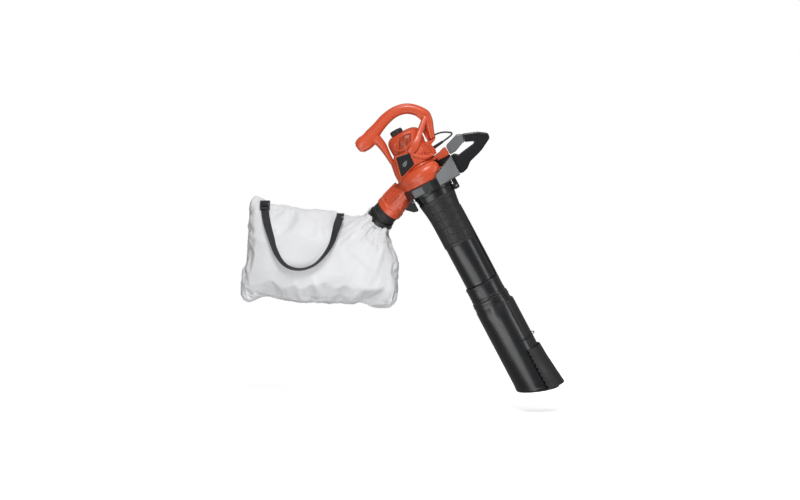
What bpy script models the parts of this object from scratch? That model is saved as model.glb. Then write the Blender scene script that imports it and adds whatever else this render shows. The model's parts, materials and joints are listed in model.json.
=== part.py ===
"""Leaf vacuum mulcher: an electric suction fan with a grip on top, a second handle in front,
a two-piece suction tube below and a cloth collecting bag on the outlet duct.

All outlines are in millimetres. The machine is drawn upright in its own frame, with +Z up the
fan axis, +X to the front and Z = 0 at the lower face of the fan housing. The whole machine then
leans by TILT, as it is carried, and the middle of the main grip lies on the world origin."""
import bpy
import bmesh
import math
from mathutils import Matrix, Vector

MM = 0.001
TILT = math.radians(28)
GRIP_CENTRE = Vector((5, 0, 268))
GAP = 0.3

ROUND = 28
SHAFT_R = 4.0
BORE_R = SHAFT_R + GAP

HANDLE_HALF_WIDTH = 18
SHELL_WALL = 4
COVER_R = 56
COVER_TOP = 205
DIAL_X = -13
DIAL_R = 21
DIAL_HEIGHT = 15
VOLUTE_R = 84
VOLUTE_TOP = 92
VOLUTE_SHOULDER = 31
VOLUTE_WALL = 3.5
INLET_R = 48
IMPELLER_R = 70

TUBE_X = 3
UPPER_TUBE_R = 52
LOWER_TUBE_R = 62.5
TUBE_WALL = 2.7
TUBE_JOINT_Z = -338
SPIGOT_END_Z = -418
MOUTH_Z = -729
MOUTH_SLOPE = -0.364
HOOK_X = 77
HOOK_Z = -26
HOOK_PIN_R = 3
LATCH_X = -70
LATCH_Z = -8
STOP_BAR_Z = -560

DUCT_START = Vector((-40, 5, 43))
DUCT_DIR = Vector((-0.9, 0.3, -0.316)).normalized()
DUCT_LENGTH = 125
DUCT_END_R = 43.5
SPIGOT_R = 39.5
CUFF_DIR = Vector((-0.80, 0.46, -0.385)).normalized()
CUFF_R = 41

BAG_Y = 66
BAG_HALF_DEPTH = 78
BAG_WALL = 2.5
STRAP_WIDTH = 25
STRAP_THICK = 2
BUCKLE_PLACE = Vector((-532, 26.1, -53.3))
BUCKLE_LEAN = math.radians(37)
TAB_PLACE = Vector((-291, 34.4, -85.5))
TAB_LEAN = math.radians(57)


# ---------------------------------------------------------------- scene and materials

def clear_scene():
    for obj in list(bpy.data.objects):
        bpy.data.objects.remove(obj)


def material(name, colour, roughness, metallic=0.0):
    mat = bpy.data.materials.new(name)
    mat.use_nodes = True
    shader = mat.node_tree.nodes["Principled BSDF"]
    shader.inputs["Base Color"].default_value = (*colour, 1)
    shader.inputs["Roughness"].default_value = roughness
    shader.inputs["Metallic"].default_value = metallic
    return mat


def empty(name, parent=None, at=(0, 0, 0), turn=(0, 0, 0)):
    obj = bpy.data.objects.new(name, None)
    bpy.context.scene.collection.objects.link(obj)
    obj.parent = parent
    obj.location = Vector(at) * MM
    obj.rotation_euler = turn
    return obj


# ---------------------------------------------------------------- solids

def add_solid(name, verts, faces, mat, parent, at=(0, 0, 0), sharp=32):
    """A closed mesh whose points are given in the parent's frame and whose origin is at."""
    origin = Vector(at)
    mesh = bpy.data.meshes.new(name)
    mesh.from_pydata([(Vector(v) - origin) * MM for v in verts], [], faces)
    bm = bmesh.new()
    bm.from_mesh(mesh)
    if bm.calc_volume(signed=True) < 0:
        bmesh.ops.reverse_faces(bm, faces=bm.faces)
    bm.to_mesh(mesh)
    bm.free()
    mesh.shade_smooth()
    mesh.set_sharp_from_angle(angle=math.radians(sharp))
    obj = bpy.data.objects.new(name, mesh)
    bpy.context.scene.collection.objects.link(obj)
    obj.parent = parent
    obj.location = origin * MM
    if mat:
        mesh.materials.append(mat)
    return obj


def loft(name, rings, mat, parent, closed=False, at=(0, 0, 0), sharp=32):
    """Skin over rings of equal count; closed joins the last ring to the first one."""
    count = len(rings[0])
    verts = [point for ring in rings for point in ring]
    faces = []
    spans = len(rings) if closed else len(rings) - 1
    for i in range(spans):
        a = i * count
        b = (i + 1) % len(rings) * count
        for k in range(count):
            n = (k + 1) % count
            faces.append((a + k, a + n, b + n, b + k))
    if not closed:
        faces.append(tuple(range(count))[::-1])
        faces.append(tuple(range(len(verts) - count, len(verts))))
    return add_solid(name, verts, faces, mat, parent, at, sharp)


def turned(name, profile, mat, parent, centre=(0, 0), hollow=True, steps=ROUND, at=(0, 0, 0)):
    """Lathe (radius, z) points about a vertical axis; hollow profiles are closed loops."""
    cx, cy = centre
    rings = []
    for radius, z in profile:
        rings.append([(cx + radius * math.cos(2 * math.pi * k / steps),
                       cy + radius * math.sin(2 * math.pi * k / steps), z) for k in range(steps)])
    return loft(name, rings, mat, parent, closed=hollow, at=at)


def prism(name, outline, y0, y1, mat, parent, at=(0, 0, 0)):
    """An (x, z) outline extruded across the machine, from y0 to y1."""
    rings = [[(x, y, z) for x, z in outline] for y in (y0, y1)]
    return loft(name, rings, mat, parent, at=at)


def plate(name, outline, z0, z1, mat, parent, at=(0, 0, 0)):
    """An (x, y) outline extruded up the machine, from z0 to z1."""
    rings = [[(x, y, z) for x, y in outline] for z in (z0, z1)]
    return loft(name, rings, mat, parent, at=at)


def box(name, low, high, mat, parent, at=(0, 0, 0)):
    (x0, y0, z0), (x1, y1, z1) = low, high
    return plate(name, [(x0, y0), (x1, y0), (x1, y1), (x0, y1)], z0, z1, mat, parent, at)


def side_axes(direction):
    """Two unit vectors square to a direction, the first one as level as it can be."""
    level = Vector((0, 0, 1)).cross(direction)
    level = level.normalized() if level.length > 1e-6 else Vector((1, 0, 0))
    return level, direction.cross(level).normalized()


def ring_at(centre, direction, radius, steps=ROUND):
    level, upright = side_axes(Vector(direction).normalized())
    ring = []
    for k in range(steps):
        angle = 2 * math.pi * k / steps
        ring.append(Vector(centre) + level * (radius * math.cos(angle))
                    + upright * (radius * math.sin(angle)))
    return ring


def pipe(name, stations, mat, parent, steps=ROUND, at=(0, 0, 0)):
    """A pipe along (centre, direction, outer radius, inner radius) stations, open at both ends.
    With inner radius 0 it is a solid rod."""
    outer = [ring_at(c, d, r, steps) for c, d, r, _ in stations]
    if stations[0][3] == 0:
        return loft(name, outer, mat, parent, at=at)
    inner = [ring_at(c, d, r, steps) for c, d, _, r in stations]
    return loft(name, outer + inner[::-1], mat, parent, closed=True, at=at)


def rod(name, start, end, radius, mat, parent, steps=16, at=(0, 0, 0)):
    axis = Vector(end) - Vector(start)
    return pipe(name, [(start, axis, radius, 0), (end, axis, radius, 0)], mat, parent, steps, at)


# ---------------------------------------------------------------- outlines and modifiers

def rounded(corners, steps=2):
    """Turn (a, b, radius) corners into an outline with an arc at each corner."""
    outline = []
    count = len(corners)
    for i, (a, b, radius) in enumerate(corners):
        here = Vector((a, b))
        back = Vector(corners[i - 1][:2]) - here
        ahead = Vector(corners[(i + 1) % count][:2]) - here
        if radius == 0:
            outline.append(tuple(here))
            continue
        half = back.angle(ahead) / 2
        reach = min(radius / math.tan(half), 0.48 * back.length, 0.48 * ahead.length)
        start = here + back.normalized() * reach
        end = here + ahead.normalized() * reach
        centre = here + (back.normalized() + ahead.normalized()).normalized() \
            * (reach / math.cos(half))
        for k in range(steps + 1):
            arm = (start - centre).slerp(end - centre, k / steps).normalized()
            outline.append(tuple(centre + arm * (start - centre).length))
    return outline


def smooth_path(points, per_span):
    """Catmull-Rom curve through hand-placed points."""
    pts = [Vector(p) for p in points]
    pts = [2 * pts[0] - pts[1]] + pts + [2 * pts[-1] - pts[-2]]
    path = []
    for i in range(1, len(pts) - 2):
        p0, p1, p2, p3 = pts[i - 1:i + 3]
        for k in range(per_span):
            t = k / per_span
            path.append(0.5 * (2 * p1 + (p2 - p0) * t + (2 * p0 - 5 * p1 + 4 * p2 - p3) * t * t
                               + (3 * p1 - p0 - 3 * p2 + p3) * t ** 3))
    path.append(pts[-2])
    return path


def boolean(obj, tool, operation="DIFFERENCE"):
    tool.hide_render = True
    tool.display_type = "WIRE"
    mod = obj.modifiers.new(tool.name, "BOOLEAN")
    mod.operation = operation
    mod.object = tool


def soften(obj, width, segments=2, angle=40):
    mod = obj.modifiers.new("soft_edges", "BEVEL")
    mod.width = width * MM
    mod.segments = segments
    mod.limit_method = "ANGLE"
    mod.angle_limit = math.radians(angle)


def join_parts(name, parts, parent):
    """One tool mesh made of several separate closed solids."""
    bm = bmesh.new()
    for part in parts:
        bm.from_mesh(part.data)
    mesh = bpy.data.meshes.new(name)
    bm.to_mesh(mesh)
    bm.free()
    for part in parts:
        bpy.data.objects.remove(part)
    obj = bpy.data.objects.new(name, mesh)
    bpy.context.scene.collection.objects.link(obj)
    obj.parent = parent
    return obj


def round_wire(name, path, radius, mat, parent, at=(0, 0, 0)):
    curve = bpy.data.curves.new(name, "CURVE")
    curve.dimensions = "3D"
    curve.bevel_depth = radius * MM
    curve.bevel_resolution = 2
    curve.use_fill_caps = True
    spline = curve.splines.new("POLY")
    spline.points.add(len(path) - 1)
    for point, place in zip(spline.points, path):
        point.co = (*((Vector(place) - Vector(at)) * MM), 1)
    curve.materials.append(mat)
    obj = bpy.data.objects.new(name, curve)
    bpy.context.scene.collection.objects.link(obj)
    obj.parent = parent
    obj.location = Vector(at) * MM
    return obj


def superellipse(half_x, half_y, centre_x, z, power, steps=ROUND):
    """A level ring between a circle (power 2) and a rounded rectangle (higher powers)."""
    ring = []
    for k in range(steps):
        c, s = math.cos(2 * math.pi * k / steps), math.sin(2 * math.pi * k / steps)
        ring.append((centre_x + half_x * math.copysign(abs(c) ** (2 / power), c),
                     half_y * math.copysign(abs(s) ** (2 / power), s), z))
    return ring


def sector(name, r0, r1, start, end, z0, z1, mat, parent, centre=(0, 0), steps=12):
    """Part of a ring between two angles in degrees."""
    cx, cy = centre
    rings = []
    for k in range(steps + 1):
        angle = math.radians(start + (end - start) * k / steps)
        c, s = math.cos(angle), math.sin(angle)
        rings.append([(cx + r * c, cy + r * s, z) for r, z in ((r0, z0), (r1, z0), (r1, z1), (r0, z1))])
    return loft(name, rings, mat, parent)


# ---------------------------------------------------------------- main handle

HANDLE_OUTLINE = [
    (91, 141, 2), (111, 214, 14), (60, 283, 22), (22, 289, 60), (-14, 286, 60), (-54, 271, 60),
    (-94, 252, 20), (-150, 241, 8), (-121, 201, 5), (-88, 193, 6), (-77, 128, 2), (-63, 128, 2),
    (-58, 188, 8), (-61, 226, 12), (-20, 245, 50), (14, 256, 30), (36, 253, 20), (80, 206, 4),
    (68, 172, 10), (71, 141, 2)]
GRIP_HOLLOW = [(-113, 233, 2), (-113, 242, 2), (-82, 250, 10), (-48, 266, 20), (-10, 280, 30),
               (25, 281, 20), (53, 275, 8), (88, 230, 4), (76, 220, 3), (38, 261, 12), (14, 264, 20),
               (-22, 253, 20), (-62, 235, 10)]
SHELL_SCREWS = [(-96, 222), (93, 212), (-71, 150), (80, 156)]
STRUT = [(86, 10, 205, 6), (63, 31, 188, 6), (40, 53, 168, 7), (16, 65, 146, 8)]
INLET_MOUTH = Vector((-137, 0, 221))
INLET_TURN = (0, math.atan2(0.777, 0.63), 0)
INLET_BLADES = {"inlet_blade_near": -6.3, "inlet_blade_far": 6.3}
HANDLE_WIRE = [(-108, 0, 237.5), (-78, 0, 242.5), (-48, 0, 257), (-18, 0, 267), (8, 0, 271.5), (40, 0, 268),
               (66, 0, 250), (80, 0, 234)]


def strut_rings(side):
    """Sections of the strut that fans out from the front corner to the motor housing."""
    rings = []
    for x, y, z, half in STRUT:
        low, high = (x + half, z - half * 0.8), (x - half, z + half * 0.8)
        near, far = side * (y - 4), side * (y + 4)
        rings.append([(high[0], near, high[1]), (low[0], near, low[1]),
                      (low[0], far, low[1]), (high[0], far, high[1])])
    return rings


def seat_in_inlet(obj):
    """Carry a piece drawn on the Z axis to the mouth of the power inlet, +Z into the pod."""
    obj.location = INLET_MOUTH * MM
    obj.rotation_euler = INLET_TURN
    return obj


def screw_holes(name, side, parent):
    """Shank holes through both shells, with a counterbore for each head in the far one."""
    holes = []
    for i, (x, z) in enumerate(SHELL_SCREWS):
        holes.append(rod(f"{name}_shank_{i}", (x, -13, z), (x, 30, z), 2.1, None, parent))
    if side > 0:
        for i, (x, z) in enumerate(SHELL_SCREWS):
            holes.append(rod(f"{name}_head_{i}", (x, 14, z), (x, 30, z), 4.6, None, parent))
    return holes


def handle_shell(name, side, mat, parent):
    """Half of the main handle, with the power inlet pod at its rear end and a side strut."""
    obj = prism(name, rounded(HANDLE_OUTLINE), side * GAP / 2, side * HANDLE_HALF_WIDTH, mat, parent)
    soften(obj, 5, 1, 50)
    boolean(obj, loft(name + "_strut", strut_rings(side), None, parent), "UNION")
    boolean(obj, prism(name + "_hollow", rounded(GRIP_HOLLOW), -side * 2,
                       side * (HANDLE_HALF_WIDTH - SHELL_WALL), None, parent))
    for hole in screw_holes(name, side, parent):
        boolean(obj, hole)
    boolean(obj, seat_in_inlet(box(name + "_socket", (-13, -11, -6), (13, 11, 24), None, parent)))
    if side > 0:
        boolean(obj, rod("lead_exit", (84, 10, 146), (104, 10, 149), 3.2, None, parent))
    return obj


def build_handle(machine, paint):
    handle_shell("handle_near_shell", -1, paint["orange"], machine)
    handle_shell("handle_far_shell", 1, paint["orange"], machine)
    for i, (x, z) in enumerate(SHELL_SCREWS):
        profile = [(1.8, -12), (1.8, 14.3), (4.2, 14.3), (4.2, 17.2)]
        screw = turned(f"shell_screw_{i + 1}", profile, paint["steel"], machine, hollow=False, steps=12)
        screw.location = Vector((x, 0, z)) * MM
        screw.rotation_euler = (-math.pi / 2, 0, 0)
    block = seat_in_inlet(box("inlet_block", (-12.6, -10.6, 9), (12.6, 10.6, 23.6), paint["black"], machine))
    for name, y in INLET_BLADES.items():
        slot = box(name + "_slot", (-3.4, y - 1.1, -1), (3.4, y + 1.1, 20), None, machine)
        boolean(block, seat_in_inlet(slot))
        seat_in_inlet(box(name, (-3.1, y - 0.75, 0.5), (3.1, y + 0.75, 19.6), paint["steel"], machine))
    round_wire("handle_wire", smooth_path(HANDLE_WIRE, 3), 2.4, paint["lead"], machine)


# ---------------------------------------------------------------- motor housing and lead

LEAD_R = 2.75
LEAD_ROUTE = [(87, 10, 146), (96, 10.5, 147), (112, 13, 144), (125, 15, 138.5), (136, 10, 132),
              (141, -2, 127), (136.5, -14.5, 123), (123.5, -20, 120.5), (108, -17.5, 118),
              (90, -14, 115.9), (66, -9.3, 113.1)]
SLEEVE_START = Vector((70.5, -10.2, 113.6))
SLEEVE_END = Vector((103, -16.6, 117.4))
BADGE = [(-50, 144, 4), (-7, 137, 4), (-9, 99, 3), (-64, 80, 4)]


def build_motor_housing(machine, paint):
    rings = [superellipse(72, 57, -10, 56, 3.4), superellipse(72, 57, -10, 92, 3.4),
             superellipse(68, 55, -9, 127, 3), superellipse(54, 54, 0, 150, 2)]
    barrel = loft("motor_housing", rings, paint["orange"], machine)
    boolean(barrel, prism("barrel_front_pad", [(45, 96), (69, 93.5), (72, 109), (66, 126),
                                               (84, 134), (90, 140.5), (47, 139.3)], -21.5, 21.5,
                          None, machine), "UNION")
    boolean(barrel, prism("skirt_line", [(-100, 40), (-90, 57), (-66, 72), (-8, 92.6), (120, 92.6),
                                         (120, 40)], -80, 80, None, machine))
    boolean(barrel, volute_body("skirt_clearance", 0.5, 20, None, machine))
    boolean(barrel, pipe("duct_clearance", [(duct_point(0), DUCT_DIR, 30.8, 0),
                                            (duct_point(DUCT_LENGTH - 22), DUCT_DIR, DUCT_END_R - 0.2, 0)],
                         None, machine))
    boolean(barrel, turned("motor_space", [(52.5, 60), (52.5, 127), (50.5, 150), (50.5, 190)],
                           None, machine, hollow=False))
    boolean(barrel, box("rear_space", (-66, -31, 98), (-40, 31, 122), None, machine))
    boolean(barrel, box("rear_foot_seat", (-90, -18.4, 127.6), (-60, 18.4, 170), None, machine))
    boolean(barrel, rod("lead_entry", (50, -6.2, 111.2), (90, -14, 115.9), 5.4, None, machine))
    badge = prism("badge_plate", rounded(BADGE), -60.2, -57.3, paint["badge"], machine)
    soften(badge, 0.8, 1)


def build_lead(machine, paint):
    """The short outer lead that joins the handle to the motor, with its strain relief."""
    round_wire("motor_lead", smooth_path(LEAD_ROUTE, 3), LEAD_R, paint["lead"], machine)
    axis = SLEEVE_END - SLEEVE_START
    bore = LEAD_R + GAP
    stations = [(SLEEVE_START, axis, 5, bore), (SLEEVE_START + axis * 0.25, axis, 5, bore),
                (SLEEVE_START + axis * 0.27, axis, 4.7, bore), (SLEEVE_END, axis, 3.8, bore)]
    pipe("lead_strain_relief", stations, paint["lead"], machine, steps=16)


def build_cover(machine, paint):
    """Vented dome over the top of the motor, with the speed dial on it."""
    wall = 3
    profile = [(5, COVER_TOP - wall), (34, COVER_TOP - wall), (47.5, 197.5), (COVER_R - wall, 188),
               (COVER_R - wall, 150.4), (COVER_R, 150.4), (COVER_R, 189.5), (50, 200), (36, COVER_TOP),
               (5, COVER_TOP)]
    cover = turned("motor_cover", profile, paint["orange"], machine, hollow=False)
    boolean(cover, rod("stem_hole", (DIAL_X, 0, 180), (DIAL_X, 0, 220), 5, None, machine))
    slots = []
    for k in range(8):
        x = -34 + 6.5 * k
        reach = 17 * math.sqrt(1 - ((x + 11) / 30) ** 2)
        lean = math.tan(TILT)
        middle = 178 + 0.1 * x
        outline = [(x - 1.4 - reach * lean, middle - reach), (x + 1.4 - reach * lean, middle - reach),
                   (x + 1.4 + reach * lean, middle + reach), (x - 1.4 + reach * lean, middle + reach)]
        for side in (-1, 1):
            slots.append(prism(f"vent_{k}_{side}", outline, side * 24, side * 62, None, machine))
    boolean(cover, join_parts("cover_vents", slots, machine))


def fluted_ring(radius, z, flutes=24):
    ring = []
    for k in range(2 * flutes):
        angle = math.pi * k / flutes
        r = radius - (0.9 if k % 2 and radius > 10 else 0)
        ring.append((DIAL_X + r * math.cos(angle), r * math.sin(angle), z))
    return ring


def build_dial(machine, paint):
    top = COVER_TOP + 0.6
    rings = [fluted_ring(3.5, 198.4), fluted_ring(3.5, top), fluted_ring(DIAL_R, top),
             fluted_ring(DIAL_R, top + DIAL_HEIGHT - 4), fluted_ring(DIAL_R - 2.5, top + DIAL_HEIGHT)]
    loft("speed_dial", rings, paint["black"], machine, at=(DIAL_X, 0, top))
    box("switch_body", (DIAL_X - 11, -9, 187.5), (DIAL_X + 11, 9, 198), paint["black"], machine)


# ---------------------------------------------------------------- motor

def bladed_rotor(name, hub_r, hub_z, disc_r, disc_z, blade_z, blades, sweep, mat, parent):
    """A hub and disc with curved blades standing on it, bored for the shaft."""
    profile = [(BORE_R, hub_z[0]), (hub_r, hub_z[0]), (hub_r, disc_z[0]), (disc_r, disc_z[0]),
               (disc_r, disc_z[1]), (hub_r, disc_z[1]), (hub_r, hub_z[1]), (BORE_R, hub_z[1])]
    rotor = turned(name, profile, mat, parent, steps=24)
    tools = []
    for k in range(blades):
        inner, outer = [], []
        for j in range(3):
            r = hub_r - 0.8 + (disc_r - 1.5 - hub_r + 0.8) * j / 2
            angle = 2 * math.pi * k / blades + sweep * j / 2
            half = 1.2 / r
            inner.append((r * math.cos(angle - half), r * math.sin(angle - half)))
            outer.append((r * math.cos(angle + half), r * math.sin(angle + half)))
        tools.append(plate(f"{name}_blade_{k}", inner + outer[::-1], *blade_z, None, parent))
    boolean(rotor, join_parts(name + "_blades", tools, parent), "UNION")
    return rotor


def build_motor(machine, paint):
    steel, copper = paint["steel"], paint["copper"]
    turned("rotor_shaft", [(3, 25), (SHAFT_R, 26.5), (SHAFT_R, 184.5), (3, 186)], steel, machine,
           hollow=False, steps=24)
    turned("armature_core", [(BORE_R, 154), (24, 154), (24, 118), (BORE_R, 118)], steel, machine, steps=32)
    turned("commutator", [(BORE_R, 175), (11, 175), (11, 163), (BORE_R, 163)], copper, machine, steps=24)
    turned("stator_core", [(25.5, 154), (42, 154), (42, 118), (25.5, 118)], steel, machine, steps=32)
    turned("lower_bearing", [(BORE_R, 100.5), (13, 100.5), (13, 93.5), (BORE_R, 93.5)], steel, machine,
           steps=24)
    turned("upper_bearing", [(BORE_R, 184), (9.5, 184), (9.5, 178), (BORE_R, 178)], steel, machine, steps=24)
    turned("bearing_bridge", [(13.3, 99.5), (51.5, 99.5), (51.5, 93.6), (13.3, 93.6)], paint["black"],
           machine, steps=32)
    carrier = box("bearing_carrier", (-46, -13, 177), (46, 13, 186), paint["black"], machine)
    boolean(carrier, rod("carrier_bore", (0, 0, 170), (0, 0, 190), 9.8, None, machine, steps=24))
    bladed_rotor("cooling_fan", 8, (103.5, 113), 44, (103.5, 105), (104.5, 113), 9, 0.5,
                 paint["black"], machine)
    for name, side in (("near", -1), ("far", 1)):
        middle = 90 * side
        sector("field_coil_" + name, 27, 40, middle - 55, middle + 55, 154.3, 161, copper, machine)
        low, high = sorted((side * 14, side * 36))
        holder = box("brush_holder_" + name, (-6, low, 163), (6, high, 175), paint["brass"], machine)
        low, high = sorted((side * 10, side * 33))
        boolean(holder, box(f"brush_channel_{name}", (-3.4, low, 165.6), (3.4, high, 172.4), None, machine))
        low, high = sorted((side * 11.6, side * 28))
        box("carbon_brush_" + name, (-3, low, 166), (3, high, 172), paint["black"], machine)
    bladed_rotor("impeller", 14, (40, 84), IMPELLER_R, (77, 80), (42, 78), 10, -0.7, paint["black"], machine)
    hexagon = [(9 * math.cos(math.pi * k / 3), 9 * math.sin(math.pi * k / 3)) for k in range(6)]
    nut = plate("impeller_nut", hexagon, 31, 38.5, steel, machine)
    boolean(nut, rod("nut_bore", (0, 0, 20), (0, 0, 50), BORE_R, None, machine, steps=24))


# ---------------------------------------------------------------- fan housing and outlet duct

def volute_body(name, grow, bottom, mat, parent):
    """Solid of revolution with a rounded shoulder, larger than the volute by grow."""
    centre_r = VOLUTE_R - VOLUTE_SHOULDER
    centre_z = VOLUTE_TOP - VOLUTE_SHOULDER
    radius = VOLUTE_SHOULDER + grow
    profile = [(VOLUTE_R - 1 + grow, bottom)]
    for k in range(7):
        angle = math.pi / 2 * k / 6
        profile.append((centre_r + radius * math.cos(angle), centre_z + radius * math.sin(angle)))
    return turned(name, profile, mat, parent, hollow=False)


def duct_point(along):
    return DUCT_START + DUCT_DIR * along


def build_volute(machine, paint):
    """Upper half of the fan housing, with the outlet duct and the front lug moulded on."""
    volute = volute_body("volute_housing", 0, 30.6, paint["orange"], machine)
    boolean(volute, prism("front_lug", [(60, 74), (100, 71), (104.5, 76), (103, 96), (97, 99), (77, 91.5),
                                        (60, 86)], -26, 26, None, machine), "UNION")
    end = duct_point(DUCT_LENGTH)
    boolean(volute, pipe("duct_outside", [(duct_point(0), DUCT_DIR, 30, 0),
                                          (duct_point(DUCT_LENGTH - 22), DUCT_DIR, DUCT_END_R - 1, 0),
                                          (end, DUCT_DIR, DUCT_END_R, 0)], None, machine), "UNION")
    boolean(volute, turned("band_clearance", [(84.9, -60), (84.9, 30.4)], None, machine, hollow=False))
    boolean(volute, volute_body("volute_space", -VOLUTE_WALL, 10, None, machine))
    bore = SPIGOT_R + 0.4
    boolean(volute, pipe("duct_space", [(duct_point(20), DUCT_DIR, 27, 0),
                                        (duct_point(DUCT_LENGTH - 24), DUCT_DIR, bore - 2, 0),
                                        (duct_point(DUCT_LENGTH - 19), DUCT_DIR, bore, 0),
                                        (duct_point(DUCT_LENGTH + 5), DUCT_DIR, bore, 0)], None, machine))
    boolean(volute, rod("bearing_opening", (0, 0, 80), (0, 0, 100), 16, None, machine, steps=24))


BAND_PLAN = [(-82, -18), (-58, -61), (-22, -82.5), (8, -86), (16, -86), (31, -84), (104, -36)]
LATCH_PIN_R = 2
LATCH_SPAN = (-34, -8)
LATCH_OUTLINE = [(-66.6, -4.6), (-73, -4), (-86, -11), (-101, -17), (-101, -20), (-83, -37),
                 (-69, -41), (-66.2, -38), (-66.4, -28), (-66.2, -14)]


def build_band(machine, paint):
    """Lower half of the fan housing: a faceted cup with the suction inlet in its floor."""
    plan = BAND_PLAN + [(x, -y) for x, y in reversed(BAND_PLAN)]
    band = plate("lower_fan_housing", plan, 0, 72, paint["black"], machine)
    boolean(band, prism("sloping_top", [(-120, 30.2), (31, 30.2), (31, 39), (104, 69), (140, 69), (140, 120),
                                        (-120, 120)], -130, 130, None, machine))
    boolean(band, turned("volute_seat", [(85.2, 30.2), (85.2, 90)], None, machine, hollow=False))
    boolean(band, turned("fan_space", [(78, 4), (78, 60)], None, machine, hollow=False))
    boolean(band, turned("suction_inlet", [(INLET_R, -5), (INLET_R, 10)], None, machine,
                         centre=(TUBE_X, 0), hollow=False))
    boolean(band, prism("lug_seat", [(40, 70.4), (120, 70.4), (120, 110), (40, 110)], -27, 27, None, machine))
    for side in (-1, 1):
        low, high = sorted((side * 14, side * 18))
        boolean(band, box(f"hook_ear_{side}", (70.5, low, -34), (85, high, 2), None, machine), "UNION")
    for y0, y1 in ((-38, -34.5), (-7.5, -4)):
        boolean(band, box(f"latch_ear_{y0}", (-74.5, y0, -13), (-65.8, y1, 2), None, machine), "UNION")
    pin = rod("hook_pin_hole", (HOOK_X, -30, HOOK_Z), (HOOK_X, 30, HOOK_Z), HOOK_PIN_R + GAP, None, machine)
    boolean(band, pin)
    pin = rod("latch_pin_hole", (LATCH_X, -50, LATCH_Z), (LATCH_X, 5, LATCH_Z), LATCH_PIN_R + GAP, None,
              machine)
    boolean(band, pin)
    rod("tube_hook_pin", (HOOK_X, -18, HOOK_Z), (HOOK_X, 18, HOOK_Z), HOOK_PIN_R, paint["steel"], machine)
    rod("latch_pin", (LATCH_X, -38, LATCH_Z), (LATCH_X, -4, LATCH_Z), LATCH_PIN_R, paint["steel"], machine)


def build_latch(machine, paint):
    """Release paddle of the suction tube, with its torsion spring on the pin."""
    latch = prism("tube_latch", LATCH_OUTLINE, *LATCH_SPAN, paint["black"], machine,
                  at=(LATCH_X, 0, LATCH_Z))
    boolean(latch, rod("latch_bore", (LATCH_X, -50, LATCH_Z), (LATCH_X, 5, LATCH_Z), LATCH_PIN_R + GAP,
                       None, machine))
    boolean(latch, box("latch_spring_room", (-76, -26, -14), (-60, -16, 0), None, machine))
    coil = []
    for k in range(25):
        angle = 2 * math.pi * k / 8
        coil.append((LATCH_X + 3.4 * math.cos(angle), -24 + 6 * k / 24, LATCH_Z + 3.4 * math.sin(angle)))
    round_wire("latch_spring", coil, 0.45, paint["steel"], machine)


def build_front_handle(machine, paint):
    """Second handle: an arm rising from the fan housing and a D-shaped grip."""
    arm = [(105, 70), (127, 71), (157, 84), (163.5, 83.5), (168.5, 110), (152, 116), (110, 102), (105.2, 96)]
    arm_obj = prism("front_handle_arm", arm, -16, 16, paint["grey"], machine)
    soften(arm_obj, 3)
    grip = [(168.9, 109.8, 0), (218, 91, 20), (244, 73, 9), (240, 57, 9), (203, 37, 20), (187, 31, 10),
            (152, 20.6, 10), (133, 5, 6), (116, 0, 3), (104.4, 2, 0), (104.4, 66, 0), (118, 66, 0),
            (129.5, 56, 5), (155, 60.6, 8), (186, 65, 5), (193, 71, 4), (163.9, 83.2, 0)]
    grip_obj = prism("front_handle_grip", rounded(grip), -16, 16, paint["black"], machine)
    soften(grip_obj, 3, 2, 50)


# ---------------------------------------------------------------- suction tube

def mouth_cutter(name, parent):
    """Everything below the oblique mouth."""
    outline = [(x, MOUTH_Z + MOUTH_SLOPE * x) for x in (-140, 160)] + [(160, -950), (-140, -950)]
    return prism(name, outline, -120, 120, None, parent)


def build_tube(machine, paint):
    """The two-piece suction tube, hung on the hook pin at the front of the fan housing."""
    centre = (TUBE_X, 0)
    hinge = (HOOK_X, 0, HOOK_Z)
    outer = [(66, -0.4), (66, -7), (61.5, -30), (53.5, -83), (UPPER_TUBE_R, -110), (UPPER_TUBE_R, -336),
             (50.4, -338.5), (50.4, SPIGOT_END_Z)]
    inner = [(r - TUBE_WALL, z) for r, z in reversed(outer)]
    upper = turned("upper_tube", outer + inner, paint["black"], machine, centre, at=hinge)
    boolean(upper, box("hook_lug", (61.5, -12, -36), (84, 12, -17), None, machine), "UNION")
    boolean(upper, rod("hook_lug_bore", (HOOK_X, -30, HOOK_Z), (HOOK_X, 30, HOOK_Z), HOOK_PIN_R + 0.6,
                       None, machine))
    boolean(upper, prism("front_spine", [(53.5, -90), (58, -96), (58, -330), (53.5, -334)], -7, 7, None,
                         machine), "UNION")

    outer = [(57, TUBE_JOINT_Z), (57, -391), (60.5, -394), (60.5, -421), (LOWER_TUBE_R, -424), (65, -800)]
    inner = [(51, TUBE_JOINT_Z), (51, -421), (59, -428), (62, -800)]
    lower = turned("lower_tube", outer + inner[::-1], paint["black"], machine, centre, at=hinge)
    boolean(lower, sector("scraper_rail", 61, 66.5, -50, 50, -600, -424, None, machine, centre), "UNION")
    boolean(lower, mouth_cutter("mouth_cut", machine))
    boolean(lower, box("snap_window", (-37, -60, -369), (-23, -30, -355), None, machine))
    tab = box("snap_tab", (-36.4, -46.2, -368.4), (-23.6, -36, -355.6), None, machine)
    boolean(upper, tab, "UNION")
    bar = []
    for k in range(17):
        angle = math.radians(-66 + 132 * k / 16)
        reach = 69.3 + 5 * math.cos(angle) ** 8
        bar.append((TUBE_X + reach * math.cos(angle), reach * math.sin(angle), STOP_BAR_Z))
    round_wire("scraper_stop", bar, 1.6, paint["black"], machine, hinge)


SCRAPER_LEVELS = [(-590, -10, 3.5, 0), (-640, -8, 6, 0.2), (-690, -12, 11, 0.4), (-727, -21, 15.5, 0.6)]
SCRAPER_R = 67.2
SCRAPER_WALL = 3.2
SCRAPER_HALF_ANGLE = 68


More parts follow.
